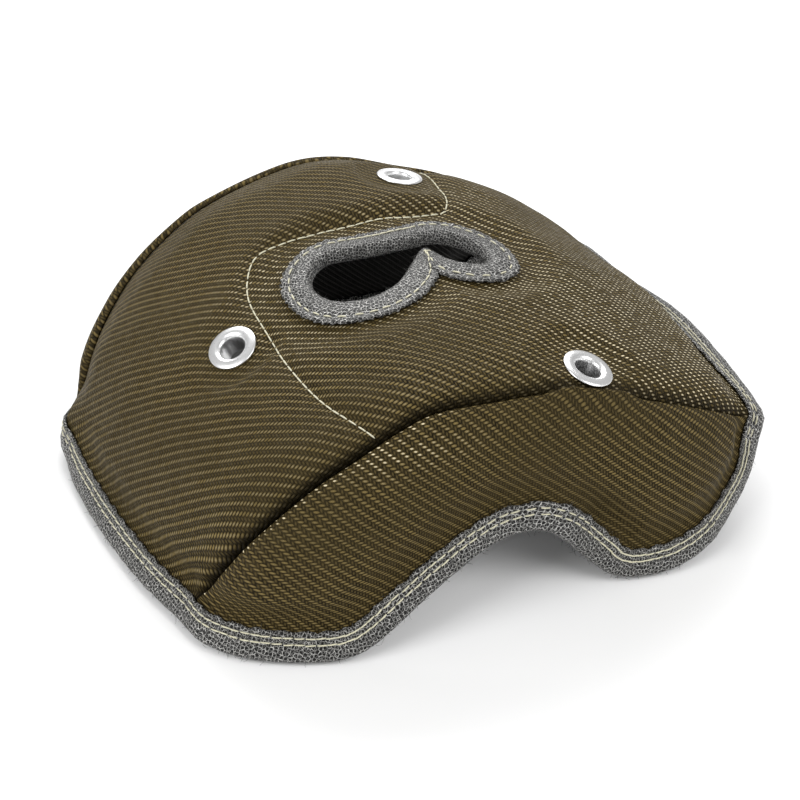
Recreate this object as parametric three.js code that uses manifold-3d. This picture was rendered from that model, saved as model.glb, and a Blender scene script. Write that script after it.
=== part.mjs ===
import * as THREE from 'three';
import Module from 'manifold-3d';
import { mergeVertices } from 'three/addons/utils/BufferGeometryUtils.js';

// Turbo heat blanket, in millimetres. +X runs along the front feet, the front band faces -Y, +Z is up.
// It lies on its rim with the two-lobed opening on top.

// Wall, from the outside in
const CLOTH = 0.8;
const PAD_EDGE = 1.3;
const LINER = 0.6;
const GAP = 0.3;
const PUFF_OUT = 4.5;
const PUFF_IN = 3.5;
const WALL_EDGE = CLOTH + GAP + PAD_EDGE + GAP + LINER;

// Mesh tape folded over the rim and over the opening's edge
const TAPE = 1.0;
const TAPE_GAP = 0.6;
const RIM_LEG = 12;
const OPENING_LEG = 11.5;
const OPENING_FRONT_LEG = 15;
const OPENING_BACK_LEG = 9.5;
const OPENING_FLAT = 15;
const OPENING_BLEND = 14;
const MIN_LEG = 3.2;
const FOLD_RISE = WALL_EDGE / 2;
const EDGE_INSET = TAPE + TAPE_GAP + 0.4;

// Sewing thread
const THREAD_R = 0.38;
const RIM_ROW_OUTER = 7.2;
const RIM_ROW_INNER = 9.6;
const ROW_CLEAR = 0.45;
const OPENING_ROW = 0.72;

// Eyelets: a flanged barrel with a washer inside
const EYELET_OD = 18.5;
const EYELET_BORE = 9.6;
const BARREL_WALL = 0.6;
const FLANGE = 0.9;
const WASHER = 0.8;
const EYELET_SEAT = 13;
const SEAT_BLEND = 10;
const SEAT_FADE = 7;
const EYELET_DIMPLE = 0.6;
const DIMPLE_REACH = 15;

// Crown of the face panel above the surface its four edges span, and bow of the two side bands
const CROWN = 7.5;
const CROWN_LEAN = 1.15;
const CROWN_FLATNESS = 0.7;
const FRONT_BOW = 3;
const BACK_BOW = 6.5;
const BOW_TURN = 1.6;
const BOW_FULL_HEIGHT = 75;
const BOW_PEAK = 27 / 4;

// How far from a seam the wall reaches its full swell
const FRONT_ROLL = 15;
const BACK_ROLL = 26;

// How far from a seam the wall stops leaning along the seam's mitre
const SEAM_TURN = 16;

// Puts the finished part's footprint over the origin, standing on z = 0
const SHIFT = new THREE.Vector3(-0.6337, -18.7717, -0.1294);

const v3 = (p) => new THREE.Vector3(p[0], p[1], p[2]);
const mix = (a, b, t) => a.clone().lerp(b, t);
const smooth = (x) => {
  const c = Math.min(1, Math.max(0, x));
  return c * c * (3 - 2 * c);
};
const pillow = (d, reach) => {
  const c = 1 - Math.min(1, Math.max(0, d / reach));
  return Math.sqrt(Math.max(0, 1 - c * c));
};

// Corners of the face panel
const FL = [-108, -41, 1];
const FR = [118, -60, 33];
const BR = [105, 93, 41];
const BL = [-119, 74, 4];

const line = (points) => new THREE.CatmullRomCurve3(points.map(v3), false, 'catmullrom', 0.5);

const leftHem = line([FL, [-113.5, -22, 1], [-117.8, 1, 1], [-120.8, 26, 1], [-121.5, 52, 1], BL]);
const rightHem = line([
  FR, [119.5, -48, 36], [123.3, -23, 37], [123.5, 7, 39.5], [117.5, 36, 41], [112, 66, 43.5], BR]);
const frontSeam = line([
  FL, [-102.5, -44, 9], [-95, -52, 26], [-86.5, -59, 42], [-75.5, -63, 54], [-63, -64.5, 63], [-50.5, -65, 69],
  [-35, -65, 76], [-21, -65, 80], [1, -66, 79], [19.5, -67, 77.5], [38, -69, 73.5], [61, -70, 64.5],
  [90, -68, 50], [109, -63, 38], FR]);
const backSeam = line([
  BL, [-115.5, 77, 9], [-101.3, 91, 34], [-87, 102, 48.5], [-71.5, 109, 60.5], [-52.5, 112, 72.8],
  [-39.5, 113, 78.3], [-16.5, 114, 84.5], [1, 112, 88], [19, 109, 86.6], [37, 105, 81.2], [60, 100, 73.5], [84, 96, 57.5], BR]);
const frontRim = line([
  FL, [-104, -56, 1], [-94, -68, 1], [-81, -76, 1], [-66, -82, 1], [-54, -84, 4], [-38, -83, 14], [-25, -81, 21],
  [-11, -79, 27], [1, -78, 30], [13, -80, 30], [22, -82, 23], [31, -82.5, 12.5], [41, -85, 3], [53, -88, 1],
  [66, -89, 1.5], [80, -86, 4], [95, -77, 8], [109, -68, 17], FR]);
const backRim = line([
  BL, [-112, 84, 1], [-96, 98, 1], [-73, 112, 1], [-38, 121, 1], [0, 124, 1], [35, 123, 1], [64, 119, 5],
  [90, 110, 20], BR]);

// The right hem flares out: its tape runs inwards at these slopes, at the front end and at the back end
const FLARE_FRONT = [-0.88, 0, 0.47];
const FLARE_BACK = [-0.96, 0, 0.2];

const frontLen = frontSeam.getLength();

// Length of the face panel from seam to seam, over its crown
const FACE_DEPTH = leftHem.getLength() * 1.35;

// Face panel: u runs from the left hem to the right hem, v from the front seam to the back seam
function faceSpan(u, v) {
  const f = frontSeam.getPointAt(u);
  const b = backSeam.getPointAt(u);
  const l = leftHem.getPointAt(v);
  const r = rightHem.getPointAt(v);
  const corners = mix(mix(v3(FL), v3(FR), u), mix(v3(BL), v3(BR), u), v);
  return mix(f, b, v).add(mix(l, r, u)).sub(corners);
}

const clamp01 = (x) => Math.min(1, Math.max(0, x));

function faceBase(u, v) {
  const p = faceSpan(clamp01(u), clamp01(v));
  const across = Math.sin(Math.PI * Math.pow(clamp01(v), CROWN_LEAN));
  const along = Math.sin(Math.PI * clamp01(u));
  p.z += CROWN * Math.pow(across, CROWN_FLATNESS) * along;
  return p;
}

// Side bands: s runs along the seam, t from the seam down to the rim
function bandBase(seam, rim, bow, side, s, t) {
  const a = seam.getPointAt(clamp01(s));
  const b = rim.getPointAt(clamp01(s));
  const turn = (s - 0.5) * BOW_TURN;
  const swell = BOW_PEAK * bow * t * (1 - t) * (1 - t) * smooth(a.distanceTo(b) / BOW_FULL_HEIGHT);
  return mix(a, b, t).add(new THREE.Vector3(swell * Math.sin(turn), side * swell * Math.cos(turn), 0));
}

const front = (s, t) => bandBase(frontSeam, frontRim, FRONT_BOW, -1, s, t);
const back = (s, t) => bandBase(backSeam, backRim, BACK_BOW, 1, s, t);

const STEP = 0.004;

function normalOf(surface, a, b, sign) {
  const a0 = Math.max(0, a - STEP);
  const a1 = Math.min(1, a + STEP);
  const b0 = Math.max(0, b - STEP);
  const b1 = Math.min(1, b + STEP);
  const da = surface(a1, b).sub(surface(a0, b));
  const db = surface(a, b1).sub(surface(a, b0));
  return da.cross(db).normalize().multiplyScalar(sign);
}

const faceNormal = (u, v) => normalOf(faceBase, u, v, 1);
const frontNormal = (s, t) => normalOf(front, s, t, -1);
const backNormal = (s, t) => normalOf(back, s, t, 1);

const mitre = (a, b) => a.clone().add(b).multiplyScalar(1 / (1 + a.dot(b)));
const END = 0.03;
const inner01 = (x) => Math.min(1 - END, Math.max(END, x));
const frontMitre = (s) => mitre(faceNormal(inner01(s), 0), frontNormal(inner01(s), 0));
const backMitre = (s) => mitre(faceNormal(inner01(s), 1), backNormal(inner01(s), 0));

// Rim frames: point on the fold, direction into the panel, outward normal
const RIM_COUNTS = { front: 40, right: 15, back: 18, left: 10 };
const LEFT_REACH = 0.035;
const SMOOTHING_PASSES = 6;

function rimFrames() {
  const points = [];
  const inward = [];
  const edge = (count, point, reach) => {
    for (let i = 0; i < count; i += 1) {
      const k = i / count;
      points.push(point(k));
      inward.push(reach(k).sub(point(k)).normalize());
    }
  };
  const up = (seam, rimLine, k) => seam.getPointAt(inner01(k)).sub(rimLine.getPointAt(inner01(k)))
    .add(rimLine.getPointAt(k));
  edge(RIM_COUNTS.front, (k) => frontRim.getPointAt(k), (k) => up(frontSeam, frontRim, k));
  const flare = (k) => mix(v3(FLARE_FRONT), v3(FLARE_BACK), k);
  edge(RIM_COUNTS.right, (k) => rightHem.getPointAt(k), (k) => rightHem.getPointAt(k).add(flare(k)));
  edge(RIM_COUNTS.back, (k) => backRim.getPointAt(1 - k), (k) => up(backSeam, backRim, 1 - k));
  edge(RIM_COUNTS.left, (k) => leftHem.getPointAt(1 - k), (k) => faceBase(LEFT_REACH, 1 - k));
  const n = points.length;
  let dirs = inward;
  for (let pass = 0; pass < SMOOTHING_PASSES; pass += 1) {
    dirs = dirs.map((d, i) => d.clone().multiplyScalar(2).add(dirs[(i + n - 1) % n]).add(dirs[(i + 1) % n])
      .normalize());
  }
  return points.map((p, i) => {
    const tangent = points[(i + 1) % n].clone().sub(points[(i + n - 1) % n]).normalize();
    const w = dirs[i].clone().addScaledVector(tangent, -dirs[i].dot(tangent)).normalize();
    return { p, w, n: tangent.clone().cross(w).normalize() };
  });
}

const rim = rimFrames();

// Near the rim the wall lies flat between the two legs of the tape
const HEM_FLAT = RIM_LEG + 1;
const HEM_BLEND = 14;

function nearestRim(x) {
  let best = { d: Infinity, i: 0, t: 0 };
  for (let i = 0; i < rim.length; i += 1) {
    const a = rim[i].p;
    const ab = rim[(i + 1) % rim.length].p.clone().sub(a);
    const t = clamp01(x.clone().sub(a).dot(ab) / ab.lengthSq());
    const d = x.distanceTo(a.clone().addScaledVector(ab, t));
    if (d < best.d) {
      best = { d, i, t };
    }
  }
  const a = rim[best.i];
  const b = rim[(best.i + 1) % rim.length];
  return { d: best.d, p: mix(a.p, b.p, best.t), n: mix(a.n, b.n, best.t).normalize() };
}

// Opening outline in plan, anticlockwise from the left lobe's left end, with the tongue on the front side
const OPENING = [
  [-31.5, 13], [-29, 6], [-23.5, 1], [-15.5, -0.5], [-5, 3], [4, 11], [9.5, 16.5], [13, 19.5], [16, 16],
  [18.5, 10.5], [23, 6.5], [29.5, 4.5], [34, 7], [36, 13], [34, 19.5], [27, 25.5], [20, 27], [13, 26], [5, 26], [-3, 27],
  [-13, 29.5], [-21.5, 31], [-28.5, 26.5], [-31.5, 20]];

const openingPlan = new THREE.CatmullRomCurve3(
  OPENING.map((p) => new THREE.Vector3(p[0], p[1], 0)), true, 'catmullrom', 0.5);
const OPENING_STATIONS = 52;
const openingLoop = openingPlan.getSpacedPoints(OPENING_STATIONS).slice(0, OPENING_STATIONS);

function planDistance(x, y) {
  let best = Infinity;
  for (let i = 0; i < openingLoop.length; i += 1) {
    const a = openingLoop[i];
    const b = openingLoop[(i + 1) % openingLoop.length];
    const dx = b.x - a.x;
    const dy = b.y - a.y;
    const t = clamp01(((x - a.x) * dx + (y - a.y) * dy) / (dx * dx + dy * dy));
    best = Math.min(best, Math.hypot(x - a.x - dx * t, y - a.y - dy * t));
  }
  return best;
}

// Finds the face panel's own coordinates under a plan position
const NEWTON_STEPS = 30;

function faceAt(x, y) {
  const h = STEP / 2;
  const inPanel = (k) => Math.min(0.99, Math.max(0.01, k));
  let u = 0.5;
  let v = 0.5;
  for (let k = 0; k < NEWTON_STEPS; k += 1) {
    const p = faceBase(u, v);
    const pu = faceBase(u + h, v).sub(p).divideScalar(h);
    const pv = faceBase(u, v + h).sub(p).divideScalar(h);
    const det = pu.x * pv.y - pv.x * pu.y;
    const ex = x - p.x;
    const ey = y - p.y;
    u = inPanel(u + (ex * pv.y - ey * pv.x) / det);
    v = inPanel(v + (ey * pu.x - ex * pu.y) / det);
  }
  return { u, v };
}

// Eyelet centres in plan, and the way each faces
const EYELETS = [
  { name: 'left', x: -64.5, y: 13.5, axis: [-0.43, -0.18, 0.88] },
  { name: 'top', x: 28.5, y: 75.5, axis: [0.19, 0.08, 0.98] },
  { name: 'right', x: 39, y: -60, axis: [0.28, -0.21, 0.94] }];

const seats = EYELETS.map((e) => {
  const { u, v } = faceAt(e.x, e.y);
  return { name: e.name, c: faceBase(u, v), n: v3(e.axis).normalize() };
});

// Pinched at seams, rim, opening and eyelets, full in between
function puffAt(x, rimDistance) {
  const open = smooth((planDistance(x.x, x.y) - OPENING_FLAT) / OPENING_BLEND);
  let pinch = 1;
  for (const s of seats) {
    pinch *= 1 - EYELET_DIMPLE * Math.exp(-((x.distanceTo(s.c) / DIMPLE_REACH) ** 4));
  }
  const hem = smooth((rimDistance - HEM_FLAT) / HEM_BLEND);
  return open * pinch * hem;
}

// A point of the wall: h0 counts from the pinched outer surface, puff scales the swell added to it
function wallPoint(base, normal, seam, layer) {
  const x = base.clone();
  const dir = mix(seam.dir, normal, smooth(seam.d / SEAM_TURN));
  const near = nearestRim(x);
  const flat = 1 - smooth((near.d - HEM_FLAT) / HEM_BLEND);
  const lift = x.clone().sub(near.p).dot(near.n) - FOLD_RISE;
  x.addScaledVector(near.n, -lift * flat);
  dir.lerp(near.n, flat);
  let total = layer.swell * seam.swell * puffAt(x, near.d);
  for (const s of seats) {
    const w = seam.seat * (1 - smooth((x.distanceTo(s.c) - EYELET_SEAT) / SEAT_BLEND));
    if (w > 0) {
      x.addScaledVector(s.n, -x.clone().sub(s.c).dot(s.n) * w);
      dir.lerp(s.n, w);
      total += (layer.swell * (1 - EYELET_DIMPLE) - total) * w;
    }
  }
  return x.addScaledVector(dir, layer.h + total);
}

const COVER_TOP = { h: 0, swell: PUFF_OUT };
const COVER_LOW = { h: -CLOTH, swell: PUFF_OUT };
const PAD_TOP = { h: -CLOTH - GAP, swell: PUFF_OUT };
const PAD_LOW = { h: -CLOTH - GAP - PAD_EDGE, swell: -PUFF_IN };
const LINER_TOP = { h: -CLOTH - PAD_EDGE - 2 * GAP, swell: -PUFF_IN };
const LINER_LOW = { h: -WALL_EDGE, swell: -PUFF_IN };

function facePoint(u, v, layer) {
  const dFront = v * FACE_DEPTH;
  const dBack = (1 - v) * FACE_DEPTH;
  const seam = v < 0.5
    ? { dir: frontMitre(u), d: dFront, swell: pillow(dFront, FRONT_ROLL), seat: 1 }
    : { dir: backMitre(u), d: dBack, swell: smooth(dBack / BACK_ROLL), seat: 1 };
  return wallPoint(faceBase(u, v), faceNormal(u, v), seam, layer);
}

function bandPoint(surface, normal, seamMitre, s, t, layer) {
  const d = t * surface(s, 0).distanceTo(surface(s, 1));
  const seam = { dir: seamMitre(s), d, swell: pillow(d, FRONT_ROLL), seat: 1 - smooth(d / SEAT_FADE) };
  return wallPoint(surface(s, t), normal(inner01(s), t), seam, layer);
}

// A closed sheet between two grids of points
function slab(rows, cols, topPoint, lowPoint) {
  const positions = [];
  const index = [];
  const push = (p) => positions.push(p.x, p.y, p.z);
  for (let i = 0; i < rows; i += 1) {
    for (let j = 0; j < cols; j += 1) {
      push(topPoint(i, j));
    }
  }
  for (let i = 0; i < rows; i += 1) {
    for (let j = 0; j < cols; j += 1) {
      push(lowPoint(i, j));
    }
  }
  const low = rows * cols;
  const at = (i, j) => i * cols + j;
  const quad = (a, b, c, d) => index.push(a, b, c, a, c, d);
  for (let i = 0; i + 1 < rows; i += 1) {
    for (let j = 0; j + 1 < cols; j += 1) {
      quad(at(i, j), at(i + 1, j), at(i + 1, j + 1), at(i, j + 1));
      quad(low + at(i, j), low + at(i, j + 1), low + at(i + 1, j + 1), low + at(i + 1, j));
    }
  }
  for (let i = 0; i + 1 < rows; i += 1) {
    quad(at(i, 0), low + at(i, 0), low + at(i + 1, 0), at(i + 1, 0));
    const j = cols - 1;
    quad(at(i, j), at(i + 1, j), low + at(i + 1, j), low + at(i, j));
  }
  for (let j = 0; j + 1 < cols; j += 1) {
    quad(at(0, j), at(0, j + 1), low + at(0, j + 1), low + at(0, j));
    const i = rows - 1;
    quad(at(i, j), low + at(i, j), low + at(i, j + 1), at(i, j + 1));
  }
  return geometryFrom(positions, index);
}

function geometryFrom(positions, index) {
  const g = new THREE.BufferGeometry();
  g.setAttribute('position', new THREE.Float32BufferAttribute(positions, 3));
  g.setIndex(index);
  return g;
}

// A section carried round a closed loop of frames
function sweepLoop(frames, sectionAt, flip) {
  const positions = [];
  const index = [];
  let count = 0;
  frames.forEach((f, i) => {
    const section = sectionAt(i);
    count = section.length;
    for (const [d, h] of section) {
      const p = f.p.clone().addScaledVector(f.w, d).addScaledVector(f.n, h);
      positions.push(p.x, p.y, p.z);
    }
  });
  const n = frames.length;
  for (let i = 0; i < n; i += 1) {
    const next = (i + 1) % n;
    for (let k = 0; k < count; k += 1) {
      const kn = (k + 1) % count;
      const a = i * count + k;
      const b = next * count + k;
      const c = next * count + kn;
      const d = i * count + kn;
      if (flip) {
        index.push(a, c, b, a, d, c);
      } else {
        index.push(a, b, c, a, c, d);
      }
    }
  }
  return geometryFrom(positions, index);
}

// Section of the folded tape; d runs into the panel, h along the outward normal, fold at d = 0
const FOLD_OUT = 2.6;
const FOLD_IN = 2.4;
const FOLD_BEVEL = [0.5, 1.2];
const FOLD_INSIDE = 0.6;

function tapeSection(leg, top, grow = 0) {
  const low = top - WALL_EDGE - 2 * TAPE_GAP;
  const mid = (top + low) / 2;
  const outTop = top + TAPE;
  const outLow = low - TAPE;
  return [
    [leg + grow, outTop + grow], [leg + grow, top - grow], [FOLD_IN, top - grow],
    [TAPE + grow, mid + FOLD_INSIDE], [TAPE + grow, mid - FOLD_INSIDE],
    [FOLD_IN, low + grow], [leg + grow, low + grow], [leg + grow, outLow - grow],
    [FOLD_OUT, outLow - grow], [FOLD_BEVEL[0], outLow + FOLD_BEVEL[1]], [0, mid],
    [FOLD_BEVEL[0], outTop - FOLD_BEVEL[1]], [FOLD_OUT, outTop + grow]];
}

const THREAD_SIDES = 4;
const threadSection = (d, h) => {
  const ring = [];
  for (let k = 0; k < THREAD_SIDES; k += 1) {
    const a = -(k / THREAD_SIDES) * 2 * Math.PI;
    ring.push([d + THREAD_R * Math.cos(a), h + THREAD_R * Math.sin(a)]);
  }
  return ring;
};

// Open thread run along a list of points
function threadRun(points) {
  const curve = new THREE.CatmullRomCurve3(points, false, 'catmullrom', 0.5);
  const ring = new THREE.Shape();
  ring.absarc(0, 0, THREAD_R, 0, 2 * Math.PI, false);
  return new THREE.ExtrudeGeometry(ring, {
    steps: points.length, extrudePath: curve, curveSegments: 3, bevelEnabled: false });
}

const wasm = await Module();
wasm.setup();

function toManifold(geometry) {
  const g = geometry.clone();
  g.deleteAttribute('normal');
  g.deleteAttribute('uv');
  const merged = mergeVertices(g, 1e-4);
  return new wasm.Manifold(new wasm.Mesh({
    numProp: 3,
    vertProperties: Float32Array.from(merged.attributes.position.array),
    triVerts: Uint32Array.from(merged.index.array) }));
}

function fromManifold(solid) {
  const mesh = solid.getMesh();
  return geometryFrom(Array.from(mesh.vertProperties), Array.from(mesh.triVerts));
}

function finish(geometry) {
  const g = geometry.index ? geometry.toNonIndexed() : geometry.clone();
  g.translate(SHIFT.x, SHIFT.y, SHIFT.z);
  g.computeVertexNormals();
  return g;
}

// Cutters reach well past the wall on both sides
const CUTTER_BASE = 40;
const CUTTER_DEPTH = 90;
const BORE_REACH = 30;
const POCKET_DEPTH = 8;
const BORE_SIDES = 28;

// Prism through the opening, wider than the fold of the tape
function openingCutter(grow) {
  const shape = new THREE.Shape();
  openingLoop.forEach((p, i) => {
    const a = openingLoop[(i + OPENING_STATIONS - 1) % OPENING_STATIONS];
    const b = openingLoop[(i + 1) % OPENING_STATIONS];
    const t = b.clone().sub(a).normalize();
    const x = p.x + t.y * grow;
    const y = p.y - t.x * grow;
    if (i === 0) {
      shape.moveTo(x, y);
    } else {
      shape.lineTo(x, y);
    }
  });
  shape.closePath();
  const g = new THREE.ExtrudeGeometry(shape, { depth: CUTTER_DEPTH, bevelEnabled: false, curveSegments: 1 });
  g.translate(0, 0, CUTTER_BASE);
  return toManifold(g);
}

function eyeletCutter(seat, radius, from, to) {
  const g = new THREE.CylinderGeometry(radius, radius, to - from, BORE_SIDES);
  g.translate(0, (from + to) / 2, 0);
  g.applyQuaternion(new THREE.Quaternion().setFromUnitVectors(new THREE.Vector3(0, 1, 0), seat.n));
  g.translate(seat.c.x, seat.c.y, seat.c.z);
  return toManifold(g);
}

// Opening tape: the legs run away from the hole and shorten on the tongue
function openingFrames() {
  const n = OPENING_STATIONS;
  return openingLoop.map((p, i) => {
    const { u, v } = faceAt(p.x, p.y);
    const c = facePoint(u, v, { h: 0, swell: 0 });
    const normal = faceNormal(u, v);
    const a = openingLoop[(i + n - 1) % n];
    const b = openingLoop[(i + 1) % n];
    const t = b.clone().sub(a).normalize();
    const w = new THREE.Vector3(t.y, -t.x, 0);
    w.addScaledVector(normal, -w.dot(normal)).normalize();
    return { p: c, w, n: normal };
  });
}

function openingReach(i) {
  const n = OPENING_STATIONS;
  const p = openingLoop[i];
  const a = openingLoop[(i + n - 1) % n];
  const b = openingLoop[(i + 1) % n];
  const t = b.clone().sub(a).normalize();
  const dx = t.y;
  const dy = -t.x;
  let reach = 2 * OPENING_LEG;
  for (let k = 0; k < n; k += 1) {
    const away = Math.min((k - i + n) % n, (i - k + n) % n);
    if (away < 2) {
      continue;
    }
    const q = openingLoop[k].clone().sub(p);
    const along = q.x * dx + q.y * dy;
    if (along <= 0) {
      continue;
    }
    reach = Math.min(reach, q.lengthSq() / along);
  }
  return reach / 2;
}

const openingLoopFrames = openingFrames();
const openingTop = TAPE_GAP;
const openingLegs = openingLoopFrames.map((f, i) => {
  const end = f.w.y < 0 ? OPENING_FRONT_LEG : OPENING_BACK_LEG;
  return Math.max(MIN_LEG, Math.min(OPENING_LEG + (end - OPENING_LEG) * f.w.y ** 2, openingReach(i) - GAP));
});
const openingSection = (i, grow) => tapeSection(openingLegs[i], openingTop, grow);

const rimTop = FOLD_RISE + TAPE_GAP;
const rimSection = tapeSection(RIM_LEG, rimTop);

// Both tapes, grown by a hair, keep the layers clear of their legs
const CLEAR = 0.12;
const tapes = [
  toManifold(sweepLoop(rim, () => tapeSection(RIM_LEG, rimTop, CLEAR), false)),
  toManifold(sweepLoop(openingLoopFrames, (i) => openingSection(i, CLEAR), true))];

const openingHole = openingCutter(EDGE_INSET);
const PAD_SETBACK = 1.5;
const padHole = openingCutter(EDGE_INSET + PAD_SETBACK);
const bores = seats.map((s) => eyeletCutter(
  s, EYELET_BORE / 2 + BARREL_WALL + GAP, -BORE_REACH, BORE_REACH));

// Flat seats pressed into the cloth and the liner by the flange and the washer
const seatSwell = 1 - EYELET_DIMPLE;
const seatTop = PUFF_OUT * seatSwell;
const seatLow = -WALL_EDGE - PUFF_IN * seatSwell;
const SEAT_R = EYELET_OD / 2 + GAP;
const flangePockets = seats.map((s) => eyeletCutter(s, SEAT_R, seatTop, seatTop + POCKET_DEPTH));
const washerPockets = seats.map((s) => eyeletCutter(s, SEAT_R, seatLow - POCKET_DEPTH, seatLow));

function cut(geometry, cutters) {
  let solid = toManifold(geometry);
  for (const cutter of cutters) {
    solid = solid.subtract(cutter);
  }
  return fromManifold(solid);
}

const cutFace = (geometry, hole, pockets) => cut(geometry, [hole, ...bores, ...pockets, ...tapes]);
const cutBand = (geometry, more = []) => cut(geometry, [tapes[0], ...more]);

const group = new THREE.Group();

function add(name, geometry, colour, roughness, metalness) {
  const mesh = new THREE.Mesh(finish(geometry), new THREE.MeshStandardMaterial({
    color: colour, roughness, metalness }));
  mesh.name = name;
  group.add(mesh);
}

const CLOTH_COLOUR = 0x5b4f38;
const PAD_COLOUR = 0xd8d2c0;
const LINER_COLOUR = 0x8d8a80;
const TAPE_COLOUR = 0x8a8a86;
const THREAD_COLOUR = 0xe6e0cc;
const EYELET_COLOUR = 0xd9dadb;

// Grid lines of the panels, closer together where the surface turns; every layer uses the same ones
const faceU = [0, 0.022, 0.05, 0.095, 0.145, 0.195, 0.245, 0.3, 0.36, 0.42, 0.48, 0.54, 0.59, 0.64, 0.69, 0.745,
  0.8, 0.855, 0.905, 0.95, 0.978, 1];
const faceV = [0, 0.012, 0.04, 0.085, 0.145, 0.21, 0.28, 0.35, 0.42, 0.49, 0.56, 0.63, 0.7, 0.77, 0.835, 0.895,
  0.95, 1];
const BAND_COLUMNS = 24;
const BAND_UPPER = [0, 0.06, 0.17, 0.34, 0.55, 0.78, 1];
const BAND_HEM = [0.5, 1];
const LOW_BAND = 0.35;
const SEAM_INSET = 0.45;
const PAD_INSET = 3;

function faceSheet(hemInset, top, low) {
  const place = (list, length, inset, k) => {
    const e = inset / length;
    return e + list[k] * (1 - 2 * e);
  };
  const at = (layer) => (i, j) => facePoint(
    place(faceU, frontLen, hemInset, i), place(faceV, FACE_DEPTH, SEAM_INSET, j), layer);
  return slab(faceU.length, faceV.length, at(top), at(low));
}

// Rows of a band: the upper part down to the tape, then the strip inside the tape
function bandRows(height, hemInset) {
  const upper = Math.max(height * LOW_BAND, height - HEM_FLAT);
  const rows = BAND_UPPER.map((k) => SEAM_INSET + k * (upper - SEAM_INSET));
  return rows.concat(BAND_HEM.map((k) => upper + k * (height - hemInset - upper)));
}

function bandSheet(band, hemInset, top, low) {
  const count = BAND_UPPER.length + BAND_HEM.length;
  const at = (layer) => (i, j) => {
    const s = END + (1 - 2 * END) * (i / (BAND_COLUMNS - 1));
    const height = band.surface(s, 0).distanceTo(band.surface(s, 1));
    const t = bandRows(height, hemInset)[band.flip ? j : count - 1 - j] / height;
    return bandPoint(band.surface, band.normal, band.seamMitre, s, t, layer);
  };
  return slab(BAND_COLUMNS, count, at(top), at(low));
}

add('face_outer_panel', cutFace(faceSheet(EDGE_INSET, COVER_TOP, COVER_LOW), openingHole, flangePockets),
  CLOTH_COLOUR, 0.8, 0.1);
const grownCover = faceSheet(EDGE_INSET, COVER_TOP, { h: -CLOTH - CLEAR, swell: PUFF_OUT });
const grownLiner = faceSheet(EDGE_INSET, { h: LINER_TOP.h + CLEAR, swell: -PUFF_IN }, LINER_LOW);
const facePad = cut(faceSheet(PAD_INSET, PAD_TOP, PAD_LOW), [
  padHole, ...bores, ...tapes, toManifold(grownCover), toManifold(grownLiner)]);
add('face_insulation', facePad, PAD_COLOUR, 0.95, 0);
add('face_liner', cutFace(faceSheet(EDGE_INSET, LINER_TOP, LINER_LOW), openingHole, washerPockets),
  LINER_COLOUR, 0.9, 0);

const bands = [
  { name: 'front_band', surface: front, normal: frontNormal, seamMitre: frontMitre, flip: false },
  { name: 'back_band', surface: back, normal: backNormal, seamMitre: backMitre, flip: true }];

for (const b of bands) {
  add(`${b.name}_outer_panel`, cutBand(bandSheet(b, EDGE_INSET, COVER_TOP, COVER_LOW)), CLOTH_COLOUR, 0.8, 0.1);
  const pad = cutBand(bandSheet(b, PAD_INSET, PAD_TOP, PAD_LOW), [toManifold(facePad)]);
  add(`${b.name}_insulation`, pad, PAD_COLOUR, 0.95, 0);
  add(`${b.name}_liner`, cutBand(bandSheet(b, EDGE_INSET, LINER_TOP, LINER_LOW)), LINER_COLOUR, 0.9, 0);
}

// Rim tape and its two rows of stitching
add('rim_binding', sweepLoop(rim, () => rimSection, false), TAPE_COLOUR, 0.5, 0.6);
const rowHeight = rimTop + TAPE + ROW_CLEAR + THREAD_R;
const rimRow = (d) => sweepLoop(rim, () => threadSection(d, rowHeight), false);
add('rim_stitch_outer', rimRow(RIM_ROW_OUTER), THREAD_COLOUR, 0.7, 0);
add('rim_stitch_inner', rimRow(RIM_ROW_INNER), THREAD_COLOUR, 0.7, 0);

add('opening_binding', sweepLoop(
  openingLoopFrames, (i) => openingSection(i, 0), true), TAPE_COLOUR, 0.5, 0.6);
const openingRowHeight = openingTop + TAPE + ROW_CLEAR + THREAD_R;
add('opening_stitch', sweepLoop(openingLoopFrames, (i) => threadSection(
  openingLegs[i] * OPENING_ROW, openingRowHeight), true), THREAD_COLOUR, 0.7, 0);

// Quilting line across the face, in plan
const QUILT = [
  [-41, -64], [-49, -42], [-52.5, -16.5], [-53, 11], [-51.5, 33], [-43, 47.5], [-31.5, 50.5], [-17, 49.5],
  [2, 46], [29.5, 45], [37, 50], [42.5, 72], [43, 94]];
const QUILT_POINTS = 34;
const QUILT_RISE = 1.3;
const quiltPlan = new THREE.CatmullRomCurve3(
  QUILT.map((p) => new THREE.Vector3(p[0], p[1], 0)), false, 'catmullrom', 0.5);
const quiltPoints = quiltPlan.getSpacedPoints(QUILT_POINTS).map((p) => {
  const { u, v } = faceAt(p.x, p.y);
  return facePoint(u, v, { h: QUILT_RISE, swell: PUFF_OUT });
});
add('quilt_stitch', threadRun(quiltPoints), THREAD_COLOUR, 0.7, 0);

// Eyelets
const LATHE_STEPS = 24;

function latheAt(seat, profile) {
  const points = profile.map(([r, h]) => new THREE.Vector2(r, h));
  points.push(points[0].clone());
  const g = new THREE.LatheGeometry(points, LATHE_STEPS);
  g.applyQuaternion(new THREE.Quaternion().setFromUnitVectors(new THREE.Vector3(0, 1, 0), seat.n));
  g.translate(seat.c.x, seat.c.y, seat.c.z);
  g.deleteAttribute('uv');
  g.deleteAttribute('normal');
  return mergeVertices(g, 1e-4);
}

const R_IN = EYELET_BORE / 2;
const R_BARREL = R_IN + BARREL_WALL;
const R_OUT = EYELET_OD / 2;
const ROUND = 0.3;

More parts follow.
